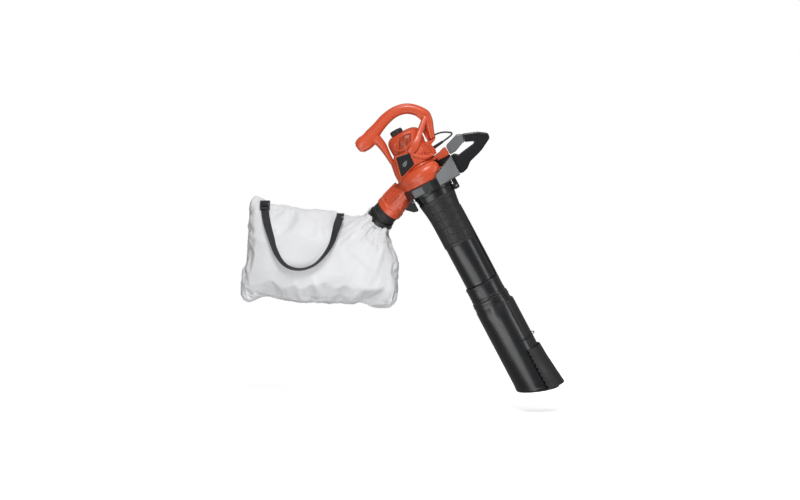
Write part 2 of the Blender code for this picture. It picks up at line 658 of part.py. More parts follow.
def scraper_ring(z_top, drop, flare, lip):
    """One level of the flared scraper: a curved wall open to the rear, as a closed strip."""
    outer, inner = [], []
    for k in range(21):
        angle = math.radians(SCRAPER_HALF_ANGLE * (k / 10 - 1))
        forward = max(0.0, math.cos(angle))
        z = z_top + drop * forward
        r_in = SCRAPER_R + lip + flare * forward ** 3
        for r, strip in ((r_in, inner), (r_in + SCRAPER_WALL, outer)):
            strip.append((TUBE_X + r * math.cos(angle), r * math.sin(angle), z))
    return outer + inner[::-1]


def build_scraper(machine, paint):
    rings = [scraper_ring(*level) for level in SCRAPER_LEVELS]
    loft("leaf_scraper", rings, paint["black"], machine, at=(TUBE_X, 0, SCRAPER_LEVELS[0][0]), sharp=50)


# ---------------------------------------------------------------- bag and strap

BAG_SECTIONS = [
    (-612, -312, -340, 0.10), (-600, -262, -351, 0.35), (-588, -110, -353, 0.52), (-570, -40, -352, 0.66),
    (-535, -40, -345, 0.82), (-470, -57, -360, 0.95), (-380, -70, -365, 1.0), (-300, -82, -366, 1.0),
    (-226, -86, -368, 0.95), (-180, -92, -378, 0.86), (-145, -128, -376, 0.72), (-122, -200, -368, 0.5),
    (-110, -262, -345, 0.22)]
STRAP_ROUTE = [(-532, 13, -71.5), (-525, -3, -103), (-512, -14, -148), (-492, -23, -205), (-463, -28, -242),
               (-422, -30, -254), (-381, -30, -244), (-349, -30, -218), (-320, -28, -177), (-306, -17, -137),
               (-299, 0, -112), (-291, 23, -92.5)]


def to_world(point):
    """From the machine's frame to the level frame at the same origin."""
    return Matrix.Rotation(-TILT, 4, "Y") @ Vector(point)


def cuff_point(along):
    return duct_point(DUCT_LENGTH + 26) + CUFF_DIR * along


def bag_body(name, inset, mat, parent, at=(0, 0, 0)):
    rings = []
    for x, top, bottom, fullness in BAG_SECTIONS:
        middle, half = (top + bottom) / 2, (top - bottom) / 2 - inset
        x = x + inset * (1 if x < -360 else -1)
        depth = BAG_HALF_DEPTH * fullness - inset
        ring = []
        for k in range(20):
            c, s = math.cos(2 * math.pi * k / 20), math.sin(2 * math.pi * k / 20)
            ring.append((x, BAG_Y + depth * math.copysign(abs(c) ** 0.8, c),
                         middle + half * math.copysign(abs(s) ** 0.8, s)))
        rings.append(ring)
    return loft(name, rings, mat, parent, at=at, sharp=60)


def build_bag(level, machine, paint):
    """The bag, its neck and the hose adapter that plugs into the outlet duct."""
    start = duct_point(DUCT_LENGTH)
    stations = [(start - DUCT_DIR * 17, DUCT_DIR, SPIGOT_R, SPIGOT_R - 3),
                (start + DUCT_DIR * 20, DUCT_DIR, SPIGOT_R, SPIGOT_R - 3),
                (cuff_point(2), CUFF_DIR, SPIGOT_R, SPIGOT_R - 3),
                (cuff_point(25), CUFF_DIR, SPIGOT_R, SPIGOT_R - 3)]
    pipe("bag_adapter", stations, paint["black"], machine, at=start)
    pipe("bag_clamp_ring", [(cuff_point(5), CUFF_DIR, CUFF_R + 1, SPIGOT_R + GAP),
                            (cuff_point(24.5), CUFF_DIR, CUFF_R + 1, SPIGOT_R + GAP)],
         paint["black"], machine, at=start)
    direction = to_world(CUFF_DIR)
    neck = [(to_world(cuff_point(20)), direction, 45.5, 0), (to_world(cuff_point(45)), direction, 50, 0),
            (to_world(cuff_point(90)), direction, 62, 0)]
    throat = [(to_world(cuff_point(10)), direction, 42.8, 0), (to_world(cuff_point(45)), direction, 47, 0),
              (to_world(cuff_point(110)), direction, 58, 0)]
    bag = bag_body("bag", 0, paint["cloth"], level, to_world(start))
    boolean(bag, pipe("neck_outside", neck, None, level, steps=24), "UNION")
    loop = box("buckle_loop", (-11.5, -5, 4.2), (11.5, 20, 7.8), None, level)
    boolean(bag, lean_on_bag(loop, BUCKLE_PLACE, BUCKLE_LEAN), "UNION")
    boolean(bag, bag_body("bag_space", BAG_WALL, None, level))
    boolean(bag, pipe("neck_space", throat, None, level, steps=24))


def lean_on_bag(obj, place, lean):
    """Lay a piece drawn upright against the near face of the bag."""
    obj.location = place * MM
    obj.rotation_euler = (-lean, 0, 0)
    return obj


def build_strap(level, paint):
    """The shoulder strap, hanging from a buckle and a sewn tab near the top of the bag."""
    path = smooth_path(STRAP_ROUTE, 3)
    rings = []
    for i, place in enumerate(path):
        back, ahead = path[max(i - 1, 0)], path[min(i + 1, len(path) - 1)]
        along = (ahead - back).normalized()
        side = along.cross(Vector((0, 1, 0))).normalized()
        share = i / (len(path) - 1)
        twist = math.radians(78) * math.sin(math.pi * share) ** 1.2
        across = side * math.cos(twist) + Vector((0, 1, 0)) * math.sin(twist)
        normal = across.cross(along).normalized()
        half, thick = across * STRAP_WIDTH / 2, normal * STRAP_THICK / 2
        rings.append([place - half - thick, place + half - thick, place + half + thick, place - half + thick])
    loft("shoulder_strap", rings, paint["webbing"], level, at=STRAP_ROUTE[0])
    frame = box("strap_buckle", (-16, -3, -16), (16, 3, 16), paint["black"], level)
    for z in (-9, 3):
        slot = box(f"buckle_slot_{z}", (-12.5, -8, z), (12.5, 8, z + 6), None, level)
        boolean(frame, lean_on_bag(slot, BUCKLE_PLACE, BUCKLE_LEAN))
    lean_on_bag(frame, BUCKLE_PLACE, BUCKLE_LEAN)
    tab = box("strap_end_tab", (-12, -1.5, -7), (12, 1.5, 7), paint["webbing"], level)
    lean_on_bag(tab, TAB_PLACE, TAB_LEAN)


# ---------------------------------------------------------------- the whole machine

def main():
    clear_scene()
    paint = {
        "orange": material("orange_plastic", (0.60, 0.085, 0.03), 0.3),
        "black": material("black_plastic", (0.012, 0.013, 0.015), 0.28),
        "grey": material("grey_plastic", (0.13, 0.135, 0.14), 0.4),
        "badge": material("badge_black", (0.008, 0.008, 0.008), 0.2),
        "lead": material("black_rubber", (0.015, 0.015, 0.015), 0.6),
        "steel": material("bright_steel", (0.6, 0.6, 0.6), 0.3, 1.0),
        "brass": material("brass", (0.75, 0.55, 0.25), 0.3, 1.0),
        "copper": material("copper", (0.8, 0.4, 0.25), 0.35, 1.0),
        "cloth": material("white_cloth", (0.72, 0.72, 0.73), 0.9),
        "webbing": material("black_webbing", (0.02, 0.02, 0.022), 0.85),
    }
    level = empty("level_frame", at=-to_world(GRIP_CENTRE))
    machine = empty("machine_frame", level, turn=(0, -TILT, 0))
    build_handle(machine, paint)
    build_motor_housing(machine, paint)
    build_lead(machine, paint)
    build_cover(machine, paint)
    build_dial(machine, paint)
    build_motor(machine, paint)
    build_volute(machine, paint)
    build_band(machine, paint)
    build_latch(machine, paint)
    build_front_handle(machine, paint)
    build_tube(machine, paint)
    build_scraper(machine, paint)
    build_bag(level, machine, paint)
    build_strap(level, paint)
    bpy.context.view_layer.update()


main()
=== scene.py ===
"""The look of the leaf vacuum mulcher: moulded shells with their ribs, vents and parting lines,
a gathered cloth bag with seams, a webbing strap, and the studio.

Pieces are drawn in the machine's own upright frame or in the level frame, both in millimetres,
and are then placed on the CAD frame. Both frames start at the fan axis, at the lower face of
the fan housing."""
import bpy
import bmesh
import json
import math
import numpy as np
from mathutils import Matrix, Vector, noise
from mathutils.bvhtree import BVHTree


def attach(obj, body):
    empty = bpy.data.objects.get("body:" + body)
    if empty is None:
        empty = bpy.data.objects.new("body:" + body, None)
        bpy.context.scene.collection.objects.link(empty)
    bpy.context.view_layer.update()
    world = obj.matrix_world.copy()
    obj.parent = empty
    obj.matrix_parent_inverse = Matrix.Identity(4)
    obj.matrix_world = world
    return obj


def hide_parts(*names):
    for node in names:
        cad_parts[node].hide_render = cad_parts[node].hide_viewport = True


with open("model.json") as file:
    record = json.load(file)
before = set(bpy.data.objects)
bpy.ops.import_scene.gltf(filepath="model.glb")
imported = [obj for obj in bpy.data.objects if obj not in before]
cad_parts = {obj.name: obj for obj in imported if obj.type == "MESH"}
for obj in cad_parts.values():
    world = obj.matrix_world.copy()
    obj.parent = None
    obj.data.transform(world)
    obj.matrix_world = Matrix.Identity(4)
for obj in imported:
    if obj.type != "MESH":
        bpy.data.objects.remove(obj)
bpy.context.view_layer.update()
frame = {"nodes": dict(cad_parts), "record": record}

MM = 0.001
TILT = math.radians(28)
GRIP_CENTRE = Vector((5, 0, 268))
LEAN = Matrix.Rotation(-TILT, 4, "Y")
LEVEL = Matrix.Translation(-(LEAN @ GRIP_CENTRE) * MM)
MACHINE = LEVEL @ LEAN

DUCT_START = Vector((-40, 5, 43))
DUCT_DIR = Vector((-0.9, 0.3, -0.316)).normalized()
DUCT_LENGTH = 125
DUCT_END_R = 43.5
CUFF_DIR = Vector((-0.80, 0.46, -0.385)).normalized()
CUFF_START = DUCT_START + DUCT_DIR * (DUCT_LENGTH + 26)
BAG_Y = 66
BAG_HALF_DEPTH = 78
TUBE_X = 3


# ---------------------------------------------------------------- camera, light, floor

LOOK_AT = Vector((0.022, 0, -0.434))
CAMERA_ELEVATION = math.radians(6)
CAMERA_DISTANCE = 6.04
MACHINE_MIDDLE = (0.0, 0.0, -0.45)
BAG_AND_TUBE = (0.2, 0, -0.5)
# name, place, target, size, watts
LIGHTS = [("key", (0.2, -2.4, 2.4), MACHINE_MIDDLE, (1.1, 1.1), 90),
          ("left_strip", (-0.6, -1.9, -0.42), BAG_AND_TUBE, (0.3, 1.0), 7),
          ("bounce", (-0.2, -0.7, -0.92), (-0.2, 0.1, -0.3), (1.2, 0.5), 5.5),
          ("right_strip", (2.3, -1.0, 0.0), BAG_AND_TUBE, (0.36, 2.4), 15),
          ("top", (-0.4, 0.5, 2.4), MACHINE_MIDDLE, (1.8, 1.2), 20)]
AMBIENT = 0.27
FLOOR_Z = -0.96
FLOOR_HALF_WIDTH = 2.4
FLOOR_HALF_DEPTH = 1.7
FLOOR_Y = -0.3
FLOOR_GLOW = 0.55


def linked(name, data):
    """A new object in the scene."""
    obj = bpy.data.objects.new(name, data)
    bpy.context.scene.collection.objects.link(obj)
    return obj


def aim(obj, direction):
    obj.rotation_mode = "QUATERNION"
    obj.rotation_quaternion = direction.to_track_quat("-Z", "Y")


def build_camera():
    data = bpy.data.cameras.new("camera")
    data.lens = 85
    data.sensor_width = 36
    data.clip_end = 100
    camera = linked("camera", data)
    back = Vector((0, -math.cos(CAMERA_ELEVATION), math.sin(CAMERA_ELEVATION)))
    camera.location = LOOK_AT + back * CAMERA_DISTANCE
    aim(camera, -back)
    bpy.context.scene.camera = camera


def area_light(name, place, target, size, power):
    data = bpy.data.lights.new(name, "AREA")
    data.shape = "RECTANGLE"
    data.size, data.size_y = size
    data.energy = power
    light = linked(name, data)
    light.location = place
    aim(light, Vector(target) - Vector(place))
    light.visible_camera = False


def build_world():
    """White to the camera, but dimmer as a light, so that the plastics keep their depth."""
    world = bpy.data.worlds.new("studio_world")
    world.use_nodes = True
    nodes, links = world.node_tree.nodes, world.node_tree.links
    dim, white = nodes["Background"], nodes.new("ShaderNodeBackground")
    for background, strength in ((dim, AMBIENT), (white, 1.0)):
        background.inputs["Color"].default_value = (1, 1, 1, 1)
        background.inputs["Strength"].default_value = strength
    choose = nodes.new("ShaderNodeMixShader")
    links.new(nodes.new("ShaderNodeLightPath").outputs["Is Camera Ray"], choose.inputs[0])
    links.new(dim.outputs[0], choose.inputs[1])
    links.new(white.outputs[0], choose.inputs[2])
    links.new(choose.outputs[0], nodes["World Output"].inputs["Surface"])
    bpy.context.scene.world = world
    bpy.context.scene.view_settings.view_transform = "Standard"


def build_floor():
    """Plain pale floor that the glossy plastics do not mirror."""
    bm = bmesh.new()
    bmesh.ops.create_grid(bm, x_segments=2, y_segments=2, size=1)
    for vert in bm.verts:
        vert.co = (vert.co.x * FLOOR_HALF_WIDTH, vert.co.y * FLOOR_HALF_DEPTH + FLOOR_Y, FLOOR_Z)
    mesh = bpy.data.meshes.new("floor")
    bm.to_mesh(mesh)
    bm.free()
    mesh.shade_smooth()
    floor = linked("floor", mesh)
    mat, shader = new_material("pale_floor", (0.92, 0.92, 0.92), 0.9)
    shader.inputs["Emission Color"].default_value = (1, 1, 1, 1)
    shader.inputs["Emission Strength"].default_value = FLOOR_GLOW
    mesh.materials.append(mat)
    floor.visible_glossy = False
    floor.visible_diffuse = False


def build_studio():
    build_world()
    for light in LIGHTS:
        area_light(*light)
    build_floor()


# ---------------------------------------------------------------- materials

def new_material(name, colour, roughness, metallic=0.0):
    mat = bpy.data.materials.new(name)
    mat.use_nodes = True
    shader = mat.node_tree.nodes["Principled BSDF"]
    shader.inputs["Base Color"].default_value = (*colour, 1)
    shader.inputs["Roughness"].default_value = roughness
    shader.inputs["Metallic"].default_value = metallic
    return mat, shader


def add_node(mat, kind, **values):
    node = mat.node_tree.nodes.new(kind)
    for key, value in values.items():
        setattr(node, key, value)
    return node


def link(mat, source, target):
    mat.node_tree.links.new(source, target)


def noise_field(mat, coords, scale, detail, roughness=0.5):
    field = add_node(mat, "ShaderNodeTexNoise")
    field.inputs["Scale"].default_value = scale
    field.inputs["Detail"].default_value = detail
    field.inputs["Roughness"].default_value = roughness
    link(mat, coords, field.inputs["Vector"])
    return field.outputs["Fac"]


def ramp(mat, source, low, high, colours):
    """From the first colour to the second one as source goes from low to high."""
    node = add_node(mat, "ShaderNodeValToRGB")
    stops = node.color_ramp.elements
    stops[0].position, stops[1].position = low, high
    stops[0].color = (*colours[0], 1)
    stops[1].color = (*colours[1], 1)
    link(mat, source, node.inputs["Fac"])
    return node.outputs["Color"]


def spread(mat, source, low, high, to_low, to_high):
    """Carry a value from one range over to another."""
    node = add_node(mat, "ShaderNodeMapRange")
    for key, value in zip(("From Min", "From Max", "To Min", "To Max"), (low, high, to_low, to_high)):
        node.inputs[key].default_value = value
    link(mat, source, node.inputs["Value"])
    return node.outputs["Result"]


def bump(mat, height, distance, strength, normal=None):
    node = add_node(mat, "ShaderNodeBump")
    node.inputs["Distance"].default_value = distance
    node.inputs["Strength"].default_value = strength
    link(mat, height, node.inputs["Height"])
    if normal:
        link(mat, normal, node.inputs["Normal"])
    return node.outputs["Normal"]


def object_coords(mat):
    return add_node(mat, "ShaderNodeTexCoord").outputs["Object"]


def shade(colour, factor):
    return tuple(min(1.0, c * factor) for c in colour)


def plastic(name, colour, roughness, grain, coat, wear):
    """Moulded plastic: slight colour drift, a fine moulded grain, smears and lighter worn edges."""
    mat, shader = new_material(name, colour, roughness)
    shader.inputs["Coat Weight"].default_value = coat
    shader.inputs["Coat Roughness"].default_value = 0.12
    coords = object_coords(mat)
    drift = ramp(mat, noise_field(mat, coords, 9, 4), 0.3, 0.7, (shade(colour, 0.9), shade(colour, 1.08)))
    edges = add_node(mat, "ShaderNodeNewGeometry").outputs["Pointiness"]
    worn = spread(mat, edges, 0.54, 0.64, 0.0, 0.45)
    mix = add_node(mat, "ShaderNodeMix", data_type="RGBA")
    link(mat, worn, mix.inputs[0])
    link(mat, drift, mix.inputs[6])
    mix.inputs[7].default_value = (*shade(colour, wear), 1)
    link(mat, mix.outputs[2], shader.inputs["Base Color"])
    smear = noise_field(mat, coords, 24, 5, 0.6)
    link(mat, spread(mat, smear, 0.3, 0.7, roughness * 0.86, roughness * 1.2), shader.inputs["Roughness"])
    fine = bump(mat, noise_field(mat, coords, 1400, 2), 0.0002, grain)
    broad = bump(mat, noise_field(mat, coords, 45, 2), 0.0006, grain * 0.35, fine)
    link(mat, broad, shader.inputs["Normal"])
    return mat


def metal(name, colour, roughness):
    """Turned or drawn metal: fine streaks along one direction."""
    mat, shader = new_material(name, colour, roughness, 1.0)
    stretch = add_node(mat, "ShaderNodeMapping")
    stretch.inputs["Scale"].default_value = (60, 60, 2200)
    link(mat, object_coords(mat), stretch.inputs["Vector"])
    streaks = noise_field(mat, stretch.outputs["Vector"], 1, 3)
    link(mat, spread(mat, streaks, 0.3, 0.7, roughness * 0.7, roughness * 1.4), shader.inputs["Roughness"])
    link(mat, ramp(mat, streaks, 0.2, 0.8, (shade(colour, 0.85), colour)), shader.inputs["Base Color"])
    link(mat, bump(mat, streaks, 0.0001, 0.3), shader.inputs["Normal"])
    return mat


WAVE_PERIOD = 0.314     # length of one band, in metres, of a wave texture at scale 1


def waves(mat, coords, direction, scale):
    """Even bands, slightly wavy, with the given axis across them."""
    node = add_node(mat, "ShaderNodeTexWave", wave_type="BANDS", bands_direction=direction)
    node.inputs["Scale"].default_value = scale
    node.inputs["Distortion"].default_value = 0.4
    node.inputs["Detail"].default_value = 1
    link(mat, coords, node.inputs["Vector"])
    return node.outputs["Fac"]


def woven(name, colour, pitch, depth, roughness, sheen, mottle=0.1):
    """Plain weave: threads that cross in the upright plane, with uneven yarn and a little soiling;
    pitch is the distance between threads in metres."""
    mat, shader = new_material(name, colour, roughness)
    shader.inputs["Sheen Weight"].default_value = sheen
    shader.inputs["Sheen Roughness"].default_value = 0.5
    coords = object_coords(mat)
    bands = WAVE_PERIOD / pitch
    warp = waves(mat, coords, "X", bands)
    weft = waves(mat, coords, "Z", bands)
    cross = add_node(mat, "ShaderNodeMath", operation="MAXIMUM")
    link(mat, warp, cross.inputs[0])
    link(mat, weft, cross.inputs[1])
    yarn = noise_field(mat, coords, 260, 4, 0.7)
    soil = noise_field(mat, coords, 7, 5, 0.6)
    base = ramp(mat, soil, 0.3, 0.75, (shade(colour, 1 - mottle), colour))
    mix = add_node(mat, "ShaderNodeMix", data_type="RGBA", blend_type="MULTIPLY")
    mix.inputs[0].default_value = 1.0
    link(mat, base, mix.inputs[6])
    link(mat, ramp(mat, cross.outputs[0], 0.2, 0.9, ((0.82, 0.82, 0.82), (1, 1, 1))), mix.inputs[7])
    link(mat, mix.outputs[2], shader.inputs["Base Color"])
    weave = bump(mat, cross.outputs[0], depth, 0.6)
    link(mat, bump(mat, yarn, depth, 0.5, weave), shader.inputs["Normal"])
    link(mat, spread(mat, yarn, 0.3, 0.7, roughness * 0.92, min(1.0, roughness * 1.08)),
         shader.inputs["Roughness"])
    return mat


def build_materials():
    return {
        "orange_plastic": plastic("orange_moulded", (0.56, 0.07, 0.02), 0.34, 0.22, 0.12, 1.25),
        "black_plastic": plastic("black_gloss_moulded", (0.0055, 0.006, 0.0075), 0.3, 0.06, 0.1, 2.2),
        # grey satin plastic; on the fan cup's flat flanks and on the front arm this grey is a painted
        # highlight on black gloss plastic
        "grey_plastic": plastic("grey_satin_and_painted_highlight", (0.13, 0.135, 0.142), 0.36, 0.3, 0.0, 1.3),
        "badge_black": plastic("badge_gloss", (0.008, 0.008, 0.009), 0.16, 0.05, 0.5, 3.0),
        "black_rubber": plastic("rubber_matt", (0.009, 0.009, 0.010), 0.5, 0.5, 0.0, 1.6),
        "bright_steel": metal("drawn_steel", (0.62, 0.62, 0.62), 0.28),
        "brass": metal("turned_brass", (0.76, 0.56, 0.26), 0.3),
        "copper": metal("wound_copper", (0.8, 0.38, 0.22), 0.35),
        "white_cloth": woven("bag_cloth", (0.72, 0.725, 0.74), 0.0011, 0.0004, 0.9, 0.08),
        "black_webbing": woven("strap_webbing", (0.008, 0.008, 0.010), 0.0016, 0.0006, 0.7, 0.02),
    }


MATERIALS = build_materials()


def dress_cad_nodes():
    """Every CAD node that stays takes the procedural finish of its material slot."""
    for part in frame["record"]["subparts"]:
        node = frame["nodes"][part["node"]]
        node.data.materials.clear()
        node.data.materials.append(MATERIALS[part["material_slot"]])


# ---------------------------------------------------------------- mesh helpers

def new_object(name, mesh, placing, slot_name=None):
    obj = linked(name, mesh)
    obj.matrix_world = placing
    if slot_name:
        mesh.materials.clear()
        mesh.materials.append(MATERIALS[slot_name])
    return obj


def mesh_from(name, verts, faces):
    """A mesh from points in millimetres, with its faces turned outwards."""
    mesh = bpy.data.meshes.new(name)
    mesh.from_pydata([Vector(v) * MM for v in verts], [], faces)
    bm = bmesh.new()
    bm.from_mesh(mesh)
    if bm.calc_volume(signed=True) < 0:
        bmesh.ops.reverse_faces(bm, faces=bm.faces)
    bm.to_mesh(mesh)
    bm.free()
    return mesh


def lofted(name, rings, closed=False):
    """Skin over rings of equal count; closed joins the last ring to the first one."""
    count = len(rings[0])
    verts = [point for ring in rings for point in ring]
    faces = []
    for i in range(len(rings) if closed else len(rings) - 1):
        a, b = i * count, (i + 1) % len(rings) * count
        faces += [(a + k, a + (k + 1) % count, b + (k + 1) % count, b + k) for k in range(count)]
    if not closed:
        faces.append(tuple(range(count))[::-1])
        faces.append(tuple(range(len(verts) - count, len(verts))))
    return mesh_from(name, verts, faces)


def turns(count):
    """Cosine and sine of even steps round a circle."""
    angles = [2 * math.pi * k / count for k in range(count)]
    return [(math.cos(a), math.sin(a)) for a in angles]


def powered(value, power):
    """A power that keeps the sign; under 1 it squares off a circle's cosine and sine."""
    return math.copysign(abs(value) ** power, value)


def heading(path, i):
    """The way a path runs at one of its points."""
    return path[min(i + 1, len(path) - 1)] - path[max(i - 1, 0)]


def side_axes(direction):
    """Two directions square to a unit direction: a level one, and one that points as far up as it can."""
    level = Vector((0, 0, 1)).cross(direction)
    level = level.normalized() if level.length > 1e-6 else Vector((1, 0, 0))
    return level, direction.cross(level).normalized()


def circle(centre, direction, radius, steps):
    level, upright = side_axes(Vector(direction).normalized())
    return [Vector(centre) + (level * c + upright * s) * radius for c, s in turns(steps)]


def tube_along(name, path, radius, steps=10, ring=False):
    """A round rod along a path; with ring the path closes on itself."""
    path = [Vector(p) for p in path]
    rings = []
    for i, place in enumerate(path):
        along = path[(i + 1) % len(path)] - path[i - 1] if ring else heading(path, i)
        size = radius[i] if isinstance(radius, list) else radius
        rings.append(circle(place, along, size, steps))
    return lofted(name, rings, ring)


def turned(name, profile, centre=(0, 0), steps=96, closed=True):
    """Lathe (radius, z) points about a vertical axis."""
    cx, cy = centre
    rings = [[(cx + r * c, cy + r * s, z) for c, s in turns(steps)] for r, z in profile]
    return lofted(name, rings, closed)


def block(name, low, high):
    (x0, y0, z0), (x1, y1, z1) = low, high
    return lofted(name, [[(x0, y0, z), (x1, y0, z), (x1, y1, z), (x0, y1, z)] for z in (z0, z1)])


def slab(name, outline, y0, y1):
    """An (x, z) outline extruded across the machine."""
    return lofted(name, [[(x, y, z) for x, z in outline] for y in (y0, y1)])


def smooth_path(points, per_span):
    """A Catmull-Rom curve through points of any number of values."""
    pts = [Vector(p) for p in points]
    pts = [2 * pts[0] - pts[1]] + pts + [2 * pts[-1] - pts[-2]]
    path = []
    for i in range(1, len(pts) - 2):
        p0, p1, p2, p3 = pts[i - 1:i + 3]
        for k in range(per_span):
            t = k / per_span
            path.append(0.5 * (2 * p1 + (p2 - p0) * t + (2 * p0 - 5 * p1 + 4 * p2 - p3) * t * t
                               + (3 * p1 - p0 - 3 * p2 + p3) * t ** 3))
    path.append(pts[-2])
    return path


def node_mesh(name):
    """A copy of a CAD node's mesh, carried back into the machine's frame."""
    mesh = frame["nodes"][name].data.copy()
    mesh.transform(MACHINE.inverted())
    return mesh


def merged(name, meshes):
    bm = bmesh.new()
    for mesh in meshes:
        bm.from_mesh(mesh)
    for face in bm.faces:
        face.material_index = 0
    mesh = bpy.data.meshes.new(name)
    bm.to_mesh(mesh)
    bm.free()
    return mesh


def applied(obj):
    """Bake an object's modifiers into its mesh."""
    graph = bpy.context.evaluated_depsgraph_get()
    mesh = bpy.data.meshes.new_from_object(obj.evaluated_get(graph))
    obj.modifiers.clear()
    obj.data = mesh


def smoothed(mesh, angle):
    """Smooth shading, but for the edges that turn by more than angle degrees."""
    mesh.shade_smooth()
    mesh.set_sharp_from_angle(angle=math.radians(angle))


def finish_piece(obj, body, replaced=()):
    """Settle a piece in the row frame and hand it to its body."""
    obj.data.transform(obj.matrix_world)
    obj.matrix_world = Matrix()
    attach(obj, body)
    if replaced:
        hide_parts(*replaced)


def melt(obj, voxel, rounds):
    """Voxel remesh and smoothing, as modifiers."""
    remesh = obj.modifiers.new("melt", "REMESH")
    remesh.mode = "VOXEL"
    remesh.voxel_size = voxel * MM
    relax = obj.modifiers.new("relax", "SMOOTH")
    relax.iterations = rounds


def moulded(name, meshes, slot_name, voxel, rounds, replaced, cuts=()):
    """Overlapping solids melted into one skin whose edges are rounded like a moulding's;
    cuts are then taken out of it cleanly."""
    obj = new_object(name, merged(name, meshes), MACHINE)
    melt(obj, voxel, rounds)
    tools = [new_object(cut.name, cut, MACHINE) for cut in cuts]
    for tool in tools:
        tool.hide_render = True
        mod = obj.modifiers.new("cut", "BOOLEAN")
        mod.operation = "DIFFERENCE"
        mod.solver = "MANIFOLD"
        mod.object = tool
    bpy.context.view_layer.update()
    applied(obj)
    for tool in tools:
        bpy.data.objects.remove(tool)
    obj.data.materials.clear()
    obj.data.materials.append(MATERIALS[slot_name])
    smoothed(obj.data, 38)
    finish_piece(obj, "machine", replaced)
    return obj


def add_piece(name, mesh, slot_name, body, replaced=(), placing=MACHINE, angle=40):
    """A piece that keeps the mesh it is given."""
    smoothed(mesh, angle)
    finish_piece(new_object(name, mesh, placing, slot_name), body, replaced)


# ---------------------------------------------------------------- moulded shells

def sweep(name, stations, power=2.4, steps=40, side=Vector((0, 1, 0))):
    """A rounded bar along (x, y, z, half width in the plane square to side, half width along side)."""
    path = [Vector(st[:3]) for st in stations]
    rings = []
    for i, (place, station) in enumerate(zip(path, stations)):
        along = heading(path, i).normalized()
        flat = along.cross(side).normalized()
        deep = flat.cross(along).normalized()
        rings.append([place + flat * (station[3] * powered(c, 2 / power))
                      + deep * (station[4] * powered(s, 2 / power)) for c, s in turns(steps)])
    return lofted(name, rings)


def smooth_stations(stations, per_span=6):
    """The same curve through places and through sizes."""
    return [tuple(p) for p in smooth_path(stations, per_span)]


# x, y, z, half width in the upright plane, half width across
GRIP = [(-146, 0, 223, 12, 12), (-140, 0, 224, 20, 17), (-124, 0, 228, 25, 19), (-104, 0, 231, 25, 19),
        (-86, 0, 240, 23, 17.5), (-58, 0, 252, 19, 17.5), (-24, 0, 265, 18, 17.8), (12, 0, 271, 17, 17.8),
        (46, 0, 265, 17, 17.5), (72, 0, 247, 17, 17), (92, 0, 221, 17, 16.5), (95, 0, 205, 15, 15)]
FRONT_LEG = [(93, 0, 222, 15, 15), (94, 0, 200, 15, 16), (86, 0, 172, 13, 17), (80, 0, 150, 11.5, 18),
             (79, 0, 142, 11, 18)]
REAR_LEG = [(-84, 0, 236, 17, 17), (-76, 0, 212, 15, 17), (-72, 0, 190, 13, 17.5), (-71, 0, 158, 9, 18),
            (-70, 0, 129, 7.5, 18)]
SIDE_STRUT = [(93, 9, 213, 9, 6), (72, 25, 195, 8.5, 5), (52, 41, 177, 9, 4.5), (34, 54, 160, 11, 4.5),
              (14, 59.5, 146, 13, 4.5), (-6, 59, 137, 10, 3)]
SHELL_SCREWS = [(-96, 222), (93, 212), (-71, 150), (80, 156)]


def build_handle():
    """Grip, pod and legs as one moulding, split along its middle, with the two side struts."""
    parts = [sweep("grip_bar", smooth_stations(GRIP)), sweep("front_leg", smooth_stations(FRONT_LEG)),
             sweep("rear_leg", smooth_stations(REAR_LEG)),
             slab("corner_web", [(66, 228), (98, 232), (100, 196), (84, 186)], -13, 13),
             slab("leg_web", [(84, 194), (61, 172), (61, 141), (90, 139), (97, 192)], -4, 4)]
    for side in (-1, 1):
        strut = [(x, side * y, z, a, b) for x, y, z, a, b in SIDE_STRUT]
        parts.append(sweep(f"strut_{side}", smooth_stations(strut), 3))
    socket = [[INLET @ Vector((x, y, z)) for x, y in ((-13, -11), (13, -11), (13, 11), (-13, 11))]
              for z in (-30, 9)]
    cuts = [block("parting", (-160, -0.35, 120), (130, 0.35, 300)), lofted("inlet_socket", socket)]
    for i, (x, z) in enumerate(SHELL_SCREWS):
        cuts.append(tube_along(f"screw_well_{i}", [(x, 14, z), (x, 40, z)], 4.6, 24))
    moulded("main_handle", parts, "orange_plastic", 1.4, 6, ["handle_near_shell", "handle_far_shell"], cuts)


INLET = Matrix.Translation((-137, 0, 221)) @ Matrix.Rotation(math.atan2(0.777, 0.63), 4, "Y")
DOME_R = 57
DOME = [(56, 149), (57, 158), (57, 176), (55, 188), (49, 197), (38, 203), (22, 205.6), (6, 206)]
VENT_COUNT = 9
VENT_PITCH = 5.2
VENT_Z = 176
VENT_SLOPE = 0.12
# black sheet just inside the dome behind the vents: painted shade standing in for the shaded inside of the
# cover
VENT_SHADE_LINER = [(50.6, 151), (50.6, 181), (47.5, 188), (40, 195), (39.4, 194), (46.7, 187.2), (49.6, 180.6),
         (49.6, 151)]


def dome_depth(x):
    return math.sqrt(DOME_R ** 2 - x * x)


